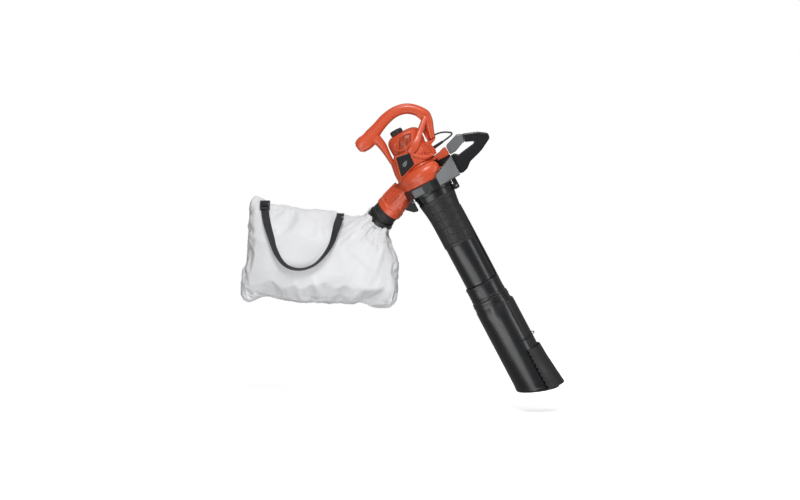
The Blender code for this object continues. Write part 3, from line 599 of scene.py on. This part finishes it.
def build_cover():
    """Rounded dome with an oval of narrow upright vents on either side, and a black liner behind them that
    closes them; its dark colour is painted shade for the inside of the cover.
    """
    outer = [tuple(p) for p in smooth_path(DOME, 4)]
    inner = [(max(r - 3.2, 2.8), z - (3.2 if r < 52 else 0)) for r, z in reversed(outer)]
    parts = [turned("dome", outer + inner)]
    lean = math.tan(TILT)
    for side in (-1, 1):
        rim = []
        for k in range(64):
            angle = 2 * math.pi * k / 64
            x, rise = 35 * math.cos(angle) - 6, 21 * math.sin(angle)
            rim.append((x + rise * lean * 0.2, side * (dome_depth(x) - 0.2), VENT_Z + rise + VENT_SLOPE * x))
        parts.append(tube_along(f"vent_rim_{side}", rim, 2.1, 8, ring=True))
    cuts = [tube_along("stem_hole", [(-13, 0, 180), (-13, 0, 220)], 5, 32)]
    for k in range(VENT_COUNT):
        x = -22 + VENT_PITCH * k
        reach = 16 * math.sqrt(max(0.1, 1 - ((x + 4) / 33) ** 2))
        middle = VENT_Z + VENT_SLOPE * x
        outline = [(x - 1 - reach * lean, middle - reach), (x + 1 - reach * lean, middle - reach),
                   (x + 1 + reach * lean, middle + reach), (x - 1 + reach * lean, middle + reach)]
        for side in (-1, 1):
            near, far = sorted((side * (dome_depth(x) - 8), side * 70))
            cuts.append(slab(f"vent_{k}_{side}", outline, near, far))
    moulded("vented_dome", parts, "orange_plastic", 0.9, 4, ["motor_cover"], cuts)
    add_piece("vent_shade_liner", turned("vent_shade_liner", VENT_SHADE_LINER), "black_plastic", "machine")


BADGE = [(-50, 144), (-7, 137), (-9, 99), (-64, 80)]


def build_motor_housing():
    """Barrel of the motor; either side has a raised frame, round the near side's badge, and ribs."""
    parts = [node_mesh("motor_housing")]
    for side in (-1, 1):
        rim = []
        for i, (x, z) in enumerate(BADGE):
            nx, nz = BADGE[(i + 1) % 4]
            rim += [(x + (nx - x) * k / 8, side * 56.6, z + (nz - z) * k / 8) for k in range(8)]
        middle = Vector((-33, side * 56.6, 115))
        rim = [middle + (Vector(p) - middle) * 1.09 for p in rim]
        parts.append(tube_along(f"badge_rim_{side}", rim, 2.6, 10, ring=True))
        parts.append(sweep(f"side_ridge_{side}", smooth_stations(
            [(-4, side * 55, 142, 6, 5), (6, side * 56, 122, 6, 5), (30, side * 54, 102, 6, 5),
             (58, side * 46, 98, 5, 4)]), 2.2))
        for k in range(4):
            x = 20 + 9 * k
            outline = [(x, 101), (x + 2.6, 101), (x + 5.6, 122), (x + 3, 122)]
            near, far = sorted((side * 50, side * (57 - 0.14 * k * k)))
            parts.append(slab(f"cooling_rib_{side}_{k}", outline, near, far))
    moulded("motor_barrel", parts, "orange_plastic", 1.2, 4, ["motor_housing"])


SCROLL_R = 58
SCROLL_Z = 60
SCROLL_ROLL_R = 25.6
SCROLL_CORE = [(2, 30.8), (80, 30.8), (80, 50), (62, 76), (56, 91.5), (2, 91.5)]
FAN_ROOM = [(78, 20), (78, 60), (55, 86), (16.5, 86), (16.5, 100)]
FRONT_LUG = [(52, 72), (100, 71), (104, 76), (103, 95), (97, 98.5), (77, 91.5), (52, 88)]


def scroll_arc(start, end, radius, z, thick, steps=56):
    """Rounded roll along an arc of the fan housing, with hemispherical ends."""
    stations = []
    for k in range(steps + 1):
        angle = math.radians(start + (end - start) * k / steps)
        from_end = min(k, steps - k) / steps * abs(math.radians(end - start)) * radius
        share = min(1.0, from_end / thick)
        size = max(thick * math.sqrt(1 - (1 - share) ** 2), 1.0)
        stations.append((radius * math.cos(angle), radius * math.sin(angle), z, size, size))
    return sweep("scroll", stations, 2.15, 48, Vector((0, 0, 1)))


def build_volute():
    """Upper half of the fan housing: a fat roll that ends in a nose, the ribbed duct and the lug."""
    level, upright = side_axes(DUCT_DIR)
    parts = [scroll_arc(-32, -328, SCROLL_R, SCROLL_Z, SCROLL_ROLL_R),
             turned("scroll_core", SCROLL_CORE, closed=False), slab("front_lug", FRONT_LUG, -26, 26)]
    duct = [(0, 30), (60, 39), (DUCT_LENGTH - 22, DUCT_END_R - 2), (DUCT_LENGTH - 21, DUCT_END_R + 0.8),
            (DUCT_LENGTH - 0.5, DUCT_END_R + 1.4)]
    parts.append(lofted("duct", [circle(DUCT_START + DUCT_DIR * a, DUCT_DIR, rad, 96) for a, rad in duct]))
    for k in range(3):
        lift = math.radians(72 - 30 * k)
        out = upright * math.sin(lift) + level * math.cos(lift)
        start, stop = DUCT_START + DUCT_DIR * (38 + 6 * k), DUCT_START + DUCT_DIR * (99 - 7 * k)
        rib = [start + out * 30, start + out * 46, stop + out * 47, stop + out * 34]
        across = DUCT_DIR.cross(out).normalized() * 3
        parts.append(lofted(f"duct_rib_{k}", [[q - across for q in rib], [q + across for q in rib]]))
    parts.append(slab("duct_gusset", [(-72, 34), (-101, -4), (-122, -16), (-112, 12), (-80, 46)], -8, 0))
    bore = [(30, 30), (DUCT_LENGTH - 24, 37.9), (DUCT_LENGTH - 19, 39.9), (DUCT_LENGTH + 8, 39.9)]
    cuts = [lofted("duct_bore", [circle(DUCT_START + DUCT_DIR * a, DUCT_DIR, rad, 72) for a, rad in bore]),
            turned("fan_room", FAN_ROOM, steps=72, closed=False)]
    moulded("fan_scroll", parts, "orange_plastic", 1.35, 4, ["volute_housing"], cuts)


# spans of the fan cup's flat flanks that are painted grey as a highlight, for the reflection of a lamp on
# black gloss plastic
HIGHLIGHT_FACETS = [(-57, -23), (33, 103)]


def build_band():
    """Faceted cup of the fan housing; its flat side panels take the grey material as a painted highlight,
    standing in for a lamp's reflection on the black gloss.
    """
    parts = [node_mesh("lower_fan_housing"),
             slab("front_fill", [(60, 48), (103.8, 67), (103.8, 71), (60, 71)], -15, 15)]
    obj = moulded("fan_cup", parts, "black_plastic", 1.1, 2, ["lower_fan_housing"])
    # the grey slot on the flanks is a painted highlight, not a separate grey panel
    obj.data.materials.append(MATERIALS["grey_plastic"])
    to_machine = MACHINE.inverted()
    for face in obj.data.polygons:
        place, normal = to_machine @ face.center / MM, to_machine.to_3x3() @ face.normal
        inside = any(low < place.x < high for low, high in HIGHLIGHT_FACETS)
        top = 31 if place.x < 31 else 39 + (place.x - 31) * 30 / 73
        flank = abs(normal.z) < 0.3 and abs(place.y) > 30 and math.hypot(place.x, place.y) > 80
        if inside and flank and 4 < place.z < top - 4:
            face.material_index = 1


def build_front_handle():
    # The arm's grey is a painted highlight: the real arm is glossy black plastic with a lamp's reflection on
    # it.
    moulded("front_arm_painted_highlight", [node_mesh("front_handle_arm")], "grey_plastic", 1.0, 4, ["front_handle_arm"])
    parts = [node_mesh("front_handle_grip")]
    for k in range(5):
        x = 178 + 9 * k
        z = 106.9 - 0.37 * (x - 176)
        parts.append(sweep(f"grip_ridge_{k}", [(x, y, z, 1.4, 1.4) for y in (-12, 12)], 2, 12,
                           Vector((1, 0, 0))))
    moulded("front_grip", parts, "black_plastic", 1.1, 6, ["front_handle_grip"])


UPPER_PROFILE = [(64.6, -0.4), (66, -1.4), (66, -6), (64.6, -11), (62.2, -24), (59.2, -42),
                 (55.6, -66), (53.4, -86), (52.3, -104), (52, -124), (52, -334), (51.3, -337),
                 (50.4, -338.5), (50.4, -417), (49.8, -418)]
FLANGE_BEAD = [(65, -8.2), (66.8, -8.6), (67.2, -10), (66.6, -11.6), (63, -12.4)]
FRONT_SPINE = [(52.5 + TUBE_X, 0, -92, 3, 4), (54 + TUBE_X, 0, -104, 3.6, 6.6),
               (54 + TUBE_X, 0, -318, 3.6, 6.6), (52.5 + TUBE_X, 0, -332, 3, 4)]
# level and how far the sleeve's skin is drawn in there
SLEEVE_LEVELS = [(-30, 1.4), (-31.5, 0.3), (-34, 0), (-50, 0), (-66, 0), (-86, 0), (-104, 0), (-124, 0),
                 (-190, 0), (-193, 0.3), (-194.5, 1.4)]
SLEEVE_LIFT = 1.9
TUBE_WALL = 2.7
TUBE_STEPS = 144
LUG_X = 77
PIN_HOLE_R = 3.5
MOUTH_Z = -729
MOUTH_SLOPE = -0.364


def tube_radius(z):
    for (r0, z0), (r1, z1) in zip(UPPER_PROFILE[2:], UPPER_PROFILE[3:]):
        if z >= z1:
            return r0 + (r1 - r0) * (z - z0) / (z1 - z0)
    return UPPER_PROFILE[-1][0]


def tube_rib(name, angles, levels, size, lift, steps=24):
    """A raised line on the upper tube, between two angles and two levels."""
    path = []
    for k in range(steps + 1):
        angle = math.radians(angles[0] + (angles[1] - angles[0]) * k / steps)
        z = levels[0] + (levels[1] - levels[0]) * k / steps
        reach = tube_radius(z) + lift
        path.append((TUBE_X + reach * math.cos(angle), reach * math.sin(angle), z))
    return tube_along(name, path, size, 12)


def sector_ring(inner, outer, half_angle, z, steps=40):
    """One level of a curved wall that is open to the rear, with rounded long edges."""
    rim_out, rim_in = [], []
    for k in range(steps + 1):
        place = 2 * k / steps - 1
        angle = math.radians(half_angle * place)
        past = max(0.0, abs(place) * 20 - 19)
        thin = 0.5 * (outer - inner) * (1 - math.sqrt(1 - past ** 2))
        for radius, rim in ((outer - thin, rim_out), (inner + thin, rim_in)):
            rim.append((TUBE_X + radius * math.cos(angle), radius * math.sin(angle), z))
    return rim_out + rim_in[::-1]


def hook_lug():
    """Rounded lug with its pin hole, at the front of the tube's flange."""
    outline = [(LUG_X + (7 if c > 0 else 15.5) * powered(c, 0.7), -26.5 + 9.5 * powered(s, 0.7))
               for c, s in turns(48)]
    bore = [(LUG_X + PIN_HOLE_R * c, -26 + PIN_HOLE_R * s) for c, s in turns(48)]
    levels = ((outline, -12), (outline, 12), (bore, 12), (bore, -12))
    return lofted("hook_lug", [[(x, y, z) for x, z in rim] for rim, y in levels], closed=True)


def build_upper_tube():
    """Upper tube with its flange, lug and front spine, and the panelled sleeve over its wide end."""
    inner = [(r - TUBE_WALL, z) for r, z in reversed(UPPER_PROFILE)]
    axis = (TUBE_X, 0)
    parts = [turned("upper_skin", UPPER_PROFILE + inner, axis, TUBE_STEPS), hook_lug(),
             turned("flange_bead", FLANGE_BEAD, axis, TUBE_STEPS),
             sweep("front_spine", smooth_stations(FRONT_SPINE), 3)]
    add_piece("upper_duct", merged("upper_duct", parts), "black_plastic", "tube", ["upper_tube"], angle=32)

    sleeve = [(tube_radius(z) + SLEEVE_LIFT - drop, z) for z, drop in SLEEVE_LEVELS]
    under = [(tube_radius(z) - 0.6, z) for z in (-194.5, -124, -104, -86, -66, -50, -34, -30)]
    parts = [turned("sleeve_skin", sleeve + under, axis, TUBE_STEPS)]
    for side in (-1, 1):
        for angle in (40, 64, 88, 112, 136):
            parts.append(tube_rib(f"long_rib_{side}_{angle}", (side * angle, side * angle), (-44, -182),
                                  1.5, SLEEVE_LIFT))
        for k in range(6):
            z = -46 - 27 * k
            parts.append(tube_rib(f"cross_rib_{side}_{k}", (side * 136, side * 40), (z, z), 1.4, SLEEVE_LIFT))
    add_piece("panelled_sleeve", merged("panelled_sleeve", parts), "black_rubber", "tube", angle=32)


LOWER_PROFILE = [(55.6, -338.4), (57, -339.6), (57, -343), (57.9, -344), (57.9, -347), (57, -348), (57, -382),
                 (58, -383.4), (58, -386), (57.2, -387.4), (57.4, -391), (60.5, -394.5), (60.5, -402),
                 (61.5, -403.2), (61.5, -406.4), (60.5, -407.6), (60.5, -420), (62.5, -424)]
LOWER_FLARE = 2.5 / 376


def tube_ring(radius, z, slope=0.0):
    """A ring about the tube's axis, level or on a slant."""
    places = [(TUBE_X + radius * c, radius * s) for c, s in turns(TUBE_STEPS)]
    return [(x, y, z + slope * x) for x, y in places]


def oblique_tube():
    """Lower tube: stepped collar, then a slightly flared barrel cut off on the slant, with a lipped rim."""
    rings = [tube_ring(r, z) for r, z in LOWER_PROFILE]
    rings += [tube_ring(62.5 + LOWER_FLARE * (-424 - z), z) for z in (-470, -530, -590, -640, -680)]
    end = 62.5 + LOWER_FLARE * 300
    lip = [(0, 13), (0.7, 12), (0.9, 8), (0.9, 3), (0.4, 0.4), (-1, 0), (-2.6, 1.2), (-2.9, 12)]
    rings += [tube_ring(end + out, MOUTH_Z + rise, MOUTH_SLOPE) for out, rise in lip]
    rings += [tube_ring(r, z) for r, z in ((59.8, -640), (59, -428), (51, -421), (51, -338.4))]
    return lofted("lower_skin", rings, closed=True)


def snap_plate():
    """Small raised plate on the collar, where the two tubes snap together."""
    arc = [math.radians(-128 + 22 * k / 12) for k in range(13)]
    rings = []
    for z, trim in ((-352, 0.9), (-353.2, 0.0), (-378.8, 0.0), (-380, 0.9)):
        ring = [(58.3 - trim, angle) for angle in arc] + [(55, arc[-1]), (55, arc[0])]
        rings.append([(TUBE_X + r * math.cos(angle), r * math.sin(angle), z) for r, angle in ring])
    return lofted("snap_plate", rings)


# level, how far the rail is thinned there, and how many degrees narrower it is
RAIL_LEVELS = [(-424.5, 2.4, 1.5), (-427, 0.6, 0.4), (-430, 0, 0), (-560, 0, 0), (-597, 0, 0),
               (-599.5, 0.8, 0.3)]


def build_lower_tube():
    add_piece("lower_duct", merged("lower_duct", [oblique_tube(), snap_plate()]), "black_plastic", "tube",
              ["lower_tube"], angle=32)
    rail = [sector_ring(62.2, 66.5 - drop, 50 - narrow, z) for z, drop, narrow in RAIL_LEVELS]
    add_piece("guard_rail", merged("guard_rail", [lofted("rail", rail)]), "black_rubber", "tube", angle=32)


# level, drop at the front, flare and lip of the scraper
SCRAPER_LEVELS = [(-590, -10, 3.5, 0), (-640, -8, 6, 0.2), (-690, -12, 11, 0.4), (-727, -21, 15.5, 0.6)]
SCRAPER_TEETH = 9
SCRAPER_LENGTH = 137
SCRAPER_R = 67.2
SCRAPER_WALL = 3.2


def build_scraper():
    """Flared scraper with a toothed edge along either side."""
    rings = []
    count = 90
    for k in range(count + 1):
        z = SCRAPER_LEVELS[0][0] - SCRAPER_LENGTH * k / count
        for low, high in zip(SCRAPER_LEVELS, SCRAPER_LEVELS[1:]):
            if z >= high[0]:
                break
        share = (z - low[0]) / (high[0] - low[0])
        drop, flare, lip = (low[i] + (high[i] - low[i]) * share for i in (1, 2, 3))
        tooth = 1 - abs((k * SCRAPER_TEETH / count) % 1 * 2 - 1)
        half = 68 - 4.5 * tooth * (0 < k < count)
        outer, inner = [], []
        for j in range(49):
            angle = math.radians(half * (j / 24 - 1))
            forward = max(0.0, math.cos(angle))
            reach = SCRAPER_R + lip + flare * forward ** 3
            crest = 0.5 if k % 30 in (14, 15) and 0 < j < 48 else 0.0
            trim = 0.5 if k in (0, count) else 0
            for radius, rim in ((reach + SCRAPER_WALL - trim + crest, outer), (reach, inner)):
                rim.append((TUBE_X + radius * math.cos(angle), radius * math.sin(angle), z + drop * forward))
        rings.append(outer + inner[::-1])
    add_piece("scraper", merged("scraper", [lofted("scraper", rings)]), "black_rubber", "scraper",
              ["leaf_scraper"], angle=25)


LEAF_X, LEAF_Z = -34, 114
LEAF_AXIS = (0.82, 0.57)


def build_details():
    """Plain leaf emblem on the badge, and the mark on the dial."""
    along_x, along_z = LEAF_AXIS
    leaf = []
    for c, s in turns(40):
        a, b = 11 * c, 5.2 * s * (1 - 0.35 * c)
        leaf.append((LEAF_X + a * along_x - b * along_z, LEAF_Z + a * along_z + b * along_x))
    add_piece("leaf_emblem", slab("leaf_emblem", leaf, -60.9, -60.0), "grey_plastic", "machine")
    vein = [(LEAF_X + a * along_x, -61, LEAF_Z + a * along_z) for a in (-12.5, 8)]
    add_piece("leaf_vein", tube_along("leaf_vein", vein, 0.6, 8), "badge_black", "machine")
    add_piece("dial_mark", block("dial_mark", (-24, -1.2, 220.4), (-6, 1.2, 221.0)), "grey_plastic", "dial")


# ---------------------------------------------------------------- bag

# x, top, bottom and fullness, from the bag's rear end to its neck
BAG_SECTIONS = [
    (-616, -304, -350, 0.10), (-606, -266, -364, 0.32), (-594, -236, -370, 0.46), (-587, -120, -371, 0.53),
    (-581, -50, -369, 0.60), (-566, -27, -364, 0.68), (-548, -36, -357, 0.76), (-517, -52, -354, 0.86),
    (-470, -60, -368, 0.96), (-420, -69, -373, 1.0), (-353, -76, -374, 1.0), (-300, -84, -375, 1.0),
    (-254, -93, -379, 0.98), (-224, -92, -372, 0.94), (-203, -93, -381, 0.92), (-175, -108, -389, 0.85),
    (-145, -140, -387, 0.73), (-122, -205, -378, 0.52), (-109, -262, -352, 0.24)]
NEAR_LIMIT = -14
NECK_AXIS = LEAN @ CUFF_DIR
NECK = [(20.5, 45.6), (40, 47.5), (60, 52), (90, 60)]
CLOTH_GRAIN = 5.5
SLACK = 13
BAG_STITCH = (4.2, 2.9, 0.4)
FRAMES = 22


def neck_place(along):
    return LEAN @ (CUFF_START + CUFF_DIR * along)


NECK_MOUTH = neck_place(21)


def bag_shell():
    """The bag's outline seen from the side, with squared-off sections."""
    rings = []
    for x, top, bottom, full in smooth_path(BAG_SECTIONS, 4):
        middle, half = (top + bottom) / 2, (top - bottom) / 2
        depth = BAG_HALF_DEPTH * full - 6
        rings.append([(x, BAG_Y + depth * powered(c, 0.9), middle + half * powered(s, 0.8))
                      for c, s in turns(96)])
    return lofted("bag_shell", rings)


def positions(mesh):
    flat = np.empty(len(mesh.vertices) * 3, dtype=np.float64)
    mesh.vertices.foreach_get("co", flat)
    return flat.reshape(-1, 3)


def set_positions(mesh, places):
    mesh.vertices.foreach_set("co", np.ascontiguousarray(places, dtype=np.float32).ravel())
    mesh.update()


def blown(obj, pinned, cap):
    """Let slack cloth fill with air for a moment; a point moves no further than cap."""
    start = positions(obj.data)
    group = obj.vertex_groups.new(name="sewn")
    for index, hold in enumerate(pinned):
        if hold > 0:
            group.add([index], hold, "REPLACE")
    cloth = obj.modifiers.new("cloth", "CLOTH")
    settings = cloth.settings
    settings.quality = 6
    settings.mass = 0.25
    settings.tension_stiffness = settings.compression_stiffness = 18
    settings.shear_stiffness = 8
    settings.bending_stiffness = 0.35
    settings.use_pressure = True
    settings.uniform_pressure_force = 2.2
    settings.shrink_min = -0.07
    settings.effector_weights.gravity = 0
    settings.vertex_group_mass = "sewn"
    cloth.point_cache.frame_start, cloth.point_cache.frame_end = 1, FRAMES
    for step in range(1, FRAMES + 1):
        bpy.context.scene.frame_set(step)
    applied(obj)
    bpy.context.scene.frame_set(1)
    obj.vertex_groups.clear()
    moved = positions(obj.data) - start
    reach = np.maximum(np.linalg.norm(moved, axis=1, keepdims=True), 1e-9)
    set_positions(obj.data, start + moved * np.minimum(1.0, cap * MM / reach))


def gathers(place):
    """Height in millimetres of the folds that run out from the drawn-in neck, and of broad slack."""
    x, y, z = place
    out = Vector(place) - NECK_MOUTH
    along = out.dot(NECK_AXIS)
    across = out - NECK_AXIS * along
    level, upright = side_axes(NECK_AXIS)
    angle = math.atan2(across.dot(upright), across.dot(level))
    far = out.length
    folds = noise.noise(Vector((math.cos(angle) * 3.4, math.sin(angle) * 3.4, far * 0.006 + 4)))
    fine = noise.noise(Vector((math.cos(angle) * 8, math.sin(angle) * 8, far * 0.01 + 9)))
    fade = math.exp(-max(far - 40, 0) / 130) * min(1.0, max(0.0, far - 8) / 40)
    slack = noise.noise(Vector((x * 0.016, y * 0.02, z * 0.011 + 2)))
    creases = 1 - abs(noise.noise(Vector((x * 0.011 + z * 0.008, z * 0.006 - x * 0.004, y * 0.01 + 7)))) * 5
    return fade * (17 * folds + 7 * fine) + 3.6 * slack + 2.6 * max(0.0, creases)


def folded(mesh, share):
    """The mesh's places after a share of the gathers has been raised on it."""
    places = positions(mesh)
    normals = np.array([v.normal for v in mesh.vertices])
    lifts = np.array([gathers(p / MM) for p in places])
    return places + normals * (lifts * share * MM)[:, None]


def surface_line(tree, points, toward, lift):
    """Points dropped onto the cloth along a direction, then lifted clear of it."""
    line = []
    for point in points:
        hit, normal, _, _ = tree.ray_cast(Vector(point) * MM, Vector(toward))
        if hit:
            line.append(hit / MM + normal * lift)
    return line


def stitch_row(name, line, pitch, length, radius):
    """A row of short threads along a line."""
    meshes = []
    travelled, due = 0.0, 0.0
    for a, b in zip(line, line[1:]):
        step = (b - a).length
        while due <= travelled + step and step > 0:
            start = a + (b - a) * ((due - travelled) / step)
            along = (b - a) / step
            thread = [start + along * length * share for share in (0, 0.2, 0.8, 1)]
            meshes.append(tube_along("thread", thread, [radius * 0.4, radius, radius, radius * 0.4], 6))
            due += pitch
        travelled += step
    return merged(name, meshes)


def ribbon(name, path, sides, width, thick):
    """Flat webbing with rounded edges along a path; sides gives its width direction at each point."""
    rings = []
    for i, place in enumerate(path):
        along = heading(path, i).normalized()
        side = (sides[i] - along * sides[i].dot(along)).normalized()
        normal = side.cross(along).normalized()
        rings.append([place + side * (width / 2 * powered(c, 0.35)) + normal * (thick / 2 * powered(s, 0.6))
                      for c, s in turns(24)])
    return lofted(name, rings)


def bag_cloth():
    """The bag's body and neck in one, blown up and folded, with its near face held clear of the strap."""
    neck = lofted("bag_neck", [circle(neck_place(a), NECK_AXIS, r, 64) for a, r in NECK])
    obj = new_object("collecting_bag", merged("bag", [bag_shell(), neck]), LEVEL)
    melt(obj, CLOTH_GRAIN, 3)
    applied(obj)
    places = positions(obj.data)
    set_positions(obj.data, folded(obj.data, 0.5))
    outline = [max(0.0, 1 - abs(p[1] / MM - BAG_Y) / 9) for p in places]
    mouth = [1.0 if (Vector(p) / MM - NECK_MOUTH).length < 62 else 0.0 for p in places]
    blown(obj, np.maximum(outline, mouth), SLACK)
    finer = obj.modifiers.new("finer", "SUBSURF")
    finer.levels = finer.render_levels = 1
    applied(obj)
    places = folded(obj.data, 0.75)
    from_strap = np.maximum.reduce([(-262 * MM - places[:, 2]) / 0.045, (places[:, 0] + 296 * MM) / 0.07,
                                    (-548 * MM - places[:, 0]) / 0.02])
    limit = (NEAR_LIMIT - 12 * np.clip(from_strap, 0, 1)) * MM
    over = limit - places[:, 1]
    places[:, 1] = np.where(over > 0, limit - 0.003 * np.tanh(over / 0.003), places[:, 1])
    set_positions(obj.data, places)
    obj.data.materials.clear()
    obj.data.materials.append(MATERIALS["white_cloth"])
    obj.data.shade_smooth()
    return obj


def add_cloth_trim(name, mesh):
    add_piece(name, mesh, "white_cloth", "bag", placing=LEVEL)


def build_bottom_seams(tree):
    """A raised seam and a row of stitches along the bottom of either face."""
    bottom = smooth_path([(x, low) for x, _, low, _ in BAG_SECTIONS[2:-2]], 14)
    for name, y, toward in (("near", -120, (0, 1, 0)), ("far", 260, (0, -1, 0))):
        seam = [(x, y, z + 14) for x, z in bottom]
        line = surface_line(tree, seam, toward, 0.0)
        add_cloth_trim(f"bottom_seam_{name}", tube_along("seam", line, 1.2, 8))
        line = surface_line(tree, [(x, y, z + 3.5) for x, y, z in seam], toward, 0.25)
        add_cloth_trim(f"bottom_stitching_{name}", stitch_row("stitches", line, *BAG_STITCH))


def build_cuff_hem(tree):
    """Rolled hem at the mouth of the neck, and a row of stitches round the neck."""
    add_cloth_trim("cuff_hem", tube_along("cuff_hem", circle(neck_place(22.5), NECK_AXIS, 45.5, 96), 2.0,
                                          10, ring=True))
    level, upright = side_axes(NECK_AXIS)
    line = []
    for c, s in turns(120):
        out = level * c + upright * s
        hit, normal, _, _ = tree.ray_cast((neck_place(36) + out * 80) * MM, -out)
        if hit:
            line.append(hit / MM + normal * 0.25)
    add_cloth_trim("cuff_stitching", stitch_row("cuff_stitches", line, *BAG_STITCH))


def build_bag():
    obj = bag_cloth()
    tree = BVHTree.FromObject(obj, bpy.context.evaluated_depsgraph_get())
    build_bottom_seams(tree)
    build_cuff_hem(tree)
    finish_piece(obj, "bag", ["bag"])
    loop = smooth_path([(-532, 22, -40), (-532, 16, -46), (-532, 21, -57), (-532, 30, -62)], 6)
    tie = ribbon("buckle_tie", loop, [Vector((1, 0, 0))] * len(loop), 23, 1.8)
    add_piece("buckle_tie", tie, "black_webbing", "bag", placing=LEVEL)


STRAP_ROUTE = [(-532, 16.4, -66.3), (-525, -3, -103), (-512, -14, -148), (-492, -23, -205),
               (-463, -28, -242), (-422, -30, -254), (-381, -30, -244), (-349, -30, -218),
               (-320, -28, -177), (-306, -17, -137), (-299, 0, -112), (-291, 25.6, -90.6)]
STRAP_WIDTH = 25
STRAP_THICK = 2
STRAP_TWIST = math.radians(78)
STRAP_STITCH = (4.4, 3.0, 0.22)


def build_strap():
    """Webbing that turns its flat side to the front at the bottom of its loop, stitched along both edges."""
    path = smooth_path(STRAP_ROUTE, 9)
    across = Vector((0, 1, 0))
    sides = []
    for i in range(len(path)):
        side = heading(path, i).normalized().cross(across).normalized()
        twist = STRAP_TWIST * max(0.0, math.sin(math.pi * i / (len(path) - 1))) ** 1.2
        sides.append(side * math.cos(twist) + across * math.sin(twist))
    band = new_object("carrying_strap", ribbon("strap", path, sides, STRAP_WIDTH, STRAP_THICK), LEVEL,
                      "black_webbing")
    band.data.shade_smooth()
    finish_piece(band, "strap", ["shoulder_strap"])
    rows = []
    for edge in (-1, 1):
        line = [p + s * (edge * 10.2) for p, s in zip(path, sides)]
        for face in (-1, 1):
            row = []
            for i, point in enumerate(line):
                out = sides[i].cross(heading(path, i).normalized()).normalized()
                row.append(point + out * (face * 0.95))
            rows.append(stitch_row("edge_stitches", row, *STRAP_STITCH))
    add_piece("strap_edge_stitching", merged("strap_edge_stitching", rows), "grey_plastic", "strap",
              placing=LEVEL)


# ---------------------------------------------------------------- lead, elbow, dial

LEAD_ROUTE = [(87, 10, 146), (96, 10.5, 147), (112, 13, 144), (125, 15, 138.5), (136, 10, 132),
              (141, -2, 127), (136.5, -14.5, 123), (123.5, -20, 120.5), (108, -17.5, 118),
              (90, -14, 115.9), (66, -9.3, 113.1)]
LEAD_DIAMETER = 5.5
LEAD_SLEEVE_START = Vector((70.5, -10.2, 113.6))
LEAD_SLEEVE_END = Vector((103, -16.6, 117.4))


def build_lead():
    """The motor lead between handle and motor."""
    path = [MACHINE @ (p * MM) for p in smooth_path(LEAD_ROUTE, 3)]
    curve = bpy.data.curves.new("lead", "CURVE")
    curve.dimensions = "3D"
    curve.bevel_depth = LEAD_DIAMETER / 2 * MM
    curve.bevel_resolution = 5
    curve.use_fill_caps = True
    spline = curve.splines.new("POLY")
    spline.points.add(len(path) - 1)
    for point, place in zip(spline.points, path):
        point.co = (*place, 1)
    curve.materials.append(MATERIALS["black_rubber"])
    lead = linked("lead", curve)
    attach(lead, "machine")
    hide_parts("motor_lead")


def build_lead_sleeve():
    """Ringed sleeve by which the lead enters the motor housing."""
    axis = LEAD_SLEEVE_END - LEAD_SLEEVE_START
    outer = []
    for k in range(61):
        share = k / 60
        size = 5.4 - 1.4 * share
        if 0.3 < share < 0.95:
            size += 0.35 * math.copysign(1, math.sin(share * 58))
        outer.append(circle(LEAD_SLEEVE_START + axis * share, axis, size, 24))
    bore = [circle(end, axis, LEAD_DIAMETER / 2 + 0.2, 24) for end in (LEAD_SLEEVE_END, LEAD_SLEEVE_START)]
    add_piece("lead_sleeve", lofted("sleeve", outer + bore, closed=True), "black_rubber", "machine",
              ["lead_strain_relief"])


CLAMP_PROFILE = [(5, 40.6), (5.4, 43.2), (7, 43.8), (9, 43.2), (11, 43.2), (20, 43.2), (22, 43.8),
                 (24, 43.2), (24.4, 40.6), (24.4, 39.9), (5, 39.9)]


def build_adapter():
    """Soft elbow between the outlet duct and the bag, with its moulded folds, and the clamp ring."""
    end = DUCT_START + DUCT_DIR * DUCT_LENGTH
    places = [end - DUCT_DIR * 17, end - DUCT_DIR * 2, end + DUCT_DIR * 8, end + DUCT_DIR * 19,
              CUFF_START + CUFF_DIR * 2, CUFF_START + CUFF_DIR * 12, CUFF_START + CUFF_DIR * 25]
    path = smooth_path(places, 10)
    rings = []
    for i, place in enumerate(path):
        along = heading(path, i)
        share = i / (len(path) - 1)
        size = 39.2
        if 0.28 < share < 0.66:
            size += 1.9 * abs(math.sin((share - 0.28) / 0.38 * math.pi * 3)) ** 0.6
        rings.append(circle(place, along, size, 96))
    inner = [circle(path[i], heading(path, i), 36.4, 96) for i in range(len(path) - 1, -1, -6)]
    add_piece("bag_elbow", lofted("elbow", rings + inner, closed=True), "black_rubber", "bag",
              ["bag_adapter"], angle=50)
    ring = [circle(CUFF_START + CUFF_DIR * a, CUFF_DIR, r, 96) for a, r in CLAMP_PROFILE]
    add_piece("clamp_ring", lofted("clamp", ring, closed=True), "black_plastic", "bag", ["bag_clamp_ring"],
              angle=30)


DIAL_X = -13
DIAL_PROFILE = [(18, 205.2), (20.5, 205.6), (20.7, 214), (19.8, 217.6), (17, 219.6), (12, 220.3),
                (2, 220.4)]
DIAL_FLUTES = 24


def build_dial():
    """Fluted speed dial with a rounded crown."""
    rings = []
    for radius, z in smooth_path(DIAL_PROFILE, 5):
        ring = []
        for k in range(144):
            angle = 2 * math.pi * k / 144
            fluted = radius > 17 and z > 205.4
            flute = 0.9 * (0.5 + 0.5 * math.cos(angle * DIAL_FLUTES)) ** 2 if fluted else 0
            ring.append((DIAL_X + (radius - flute) * math.cos(angle), (radius - flute) * math.sin(angle), z))
        rings.append(ring)
    stem = turned("stem", [(3.4, 198.6), (3.4, 206)], (DIAL_X, 0), 32, closed=False)
    add_piece("fluted_dial", merged("dial", [lofted("crown", rings), stem]), "black_plastic", "dial",
              ["speed_dial"], angle=35)


# ---------------------------------------------------------------- all of it

build_camera()
build_lead()
build_lead_sleeve()
build_studio()
dress_cad_nodes()
build_handle()
build_cover()
build_motor_housing()
build_volute()
build_band()
build_front_handle()
build_upper_tube()
build_lower_tube()
build_scraper()
build_dial()
build_details()
build_adapter()
build_bag()
build_strap()
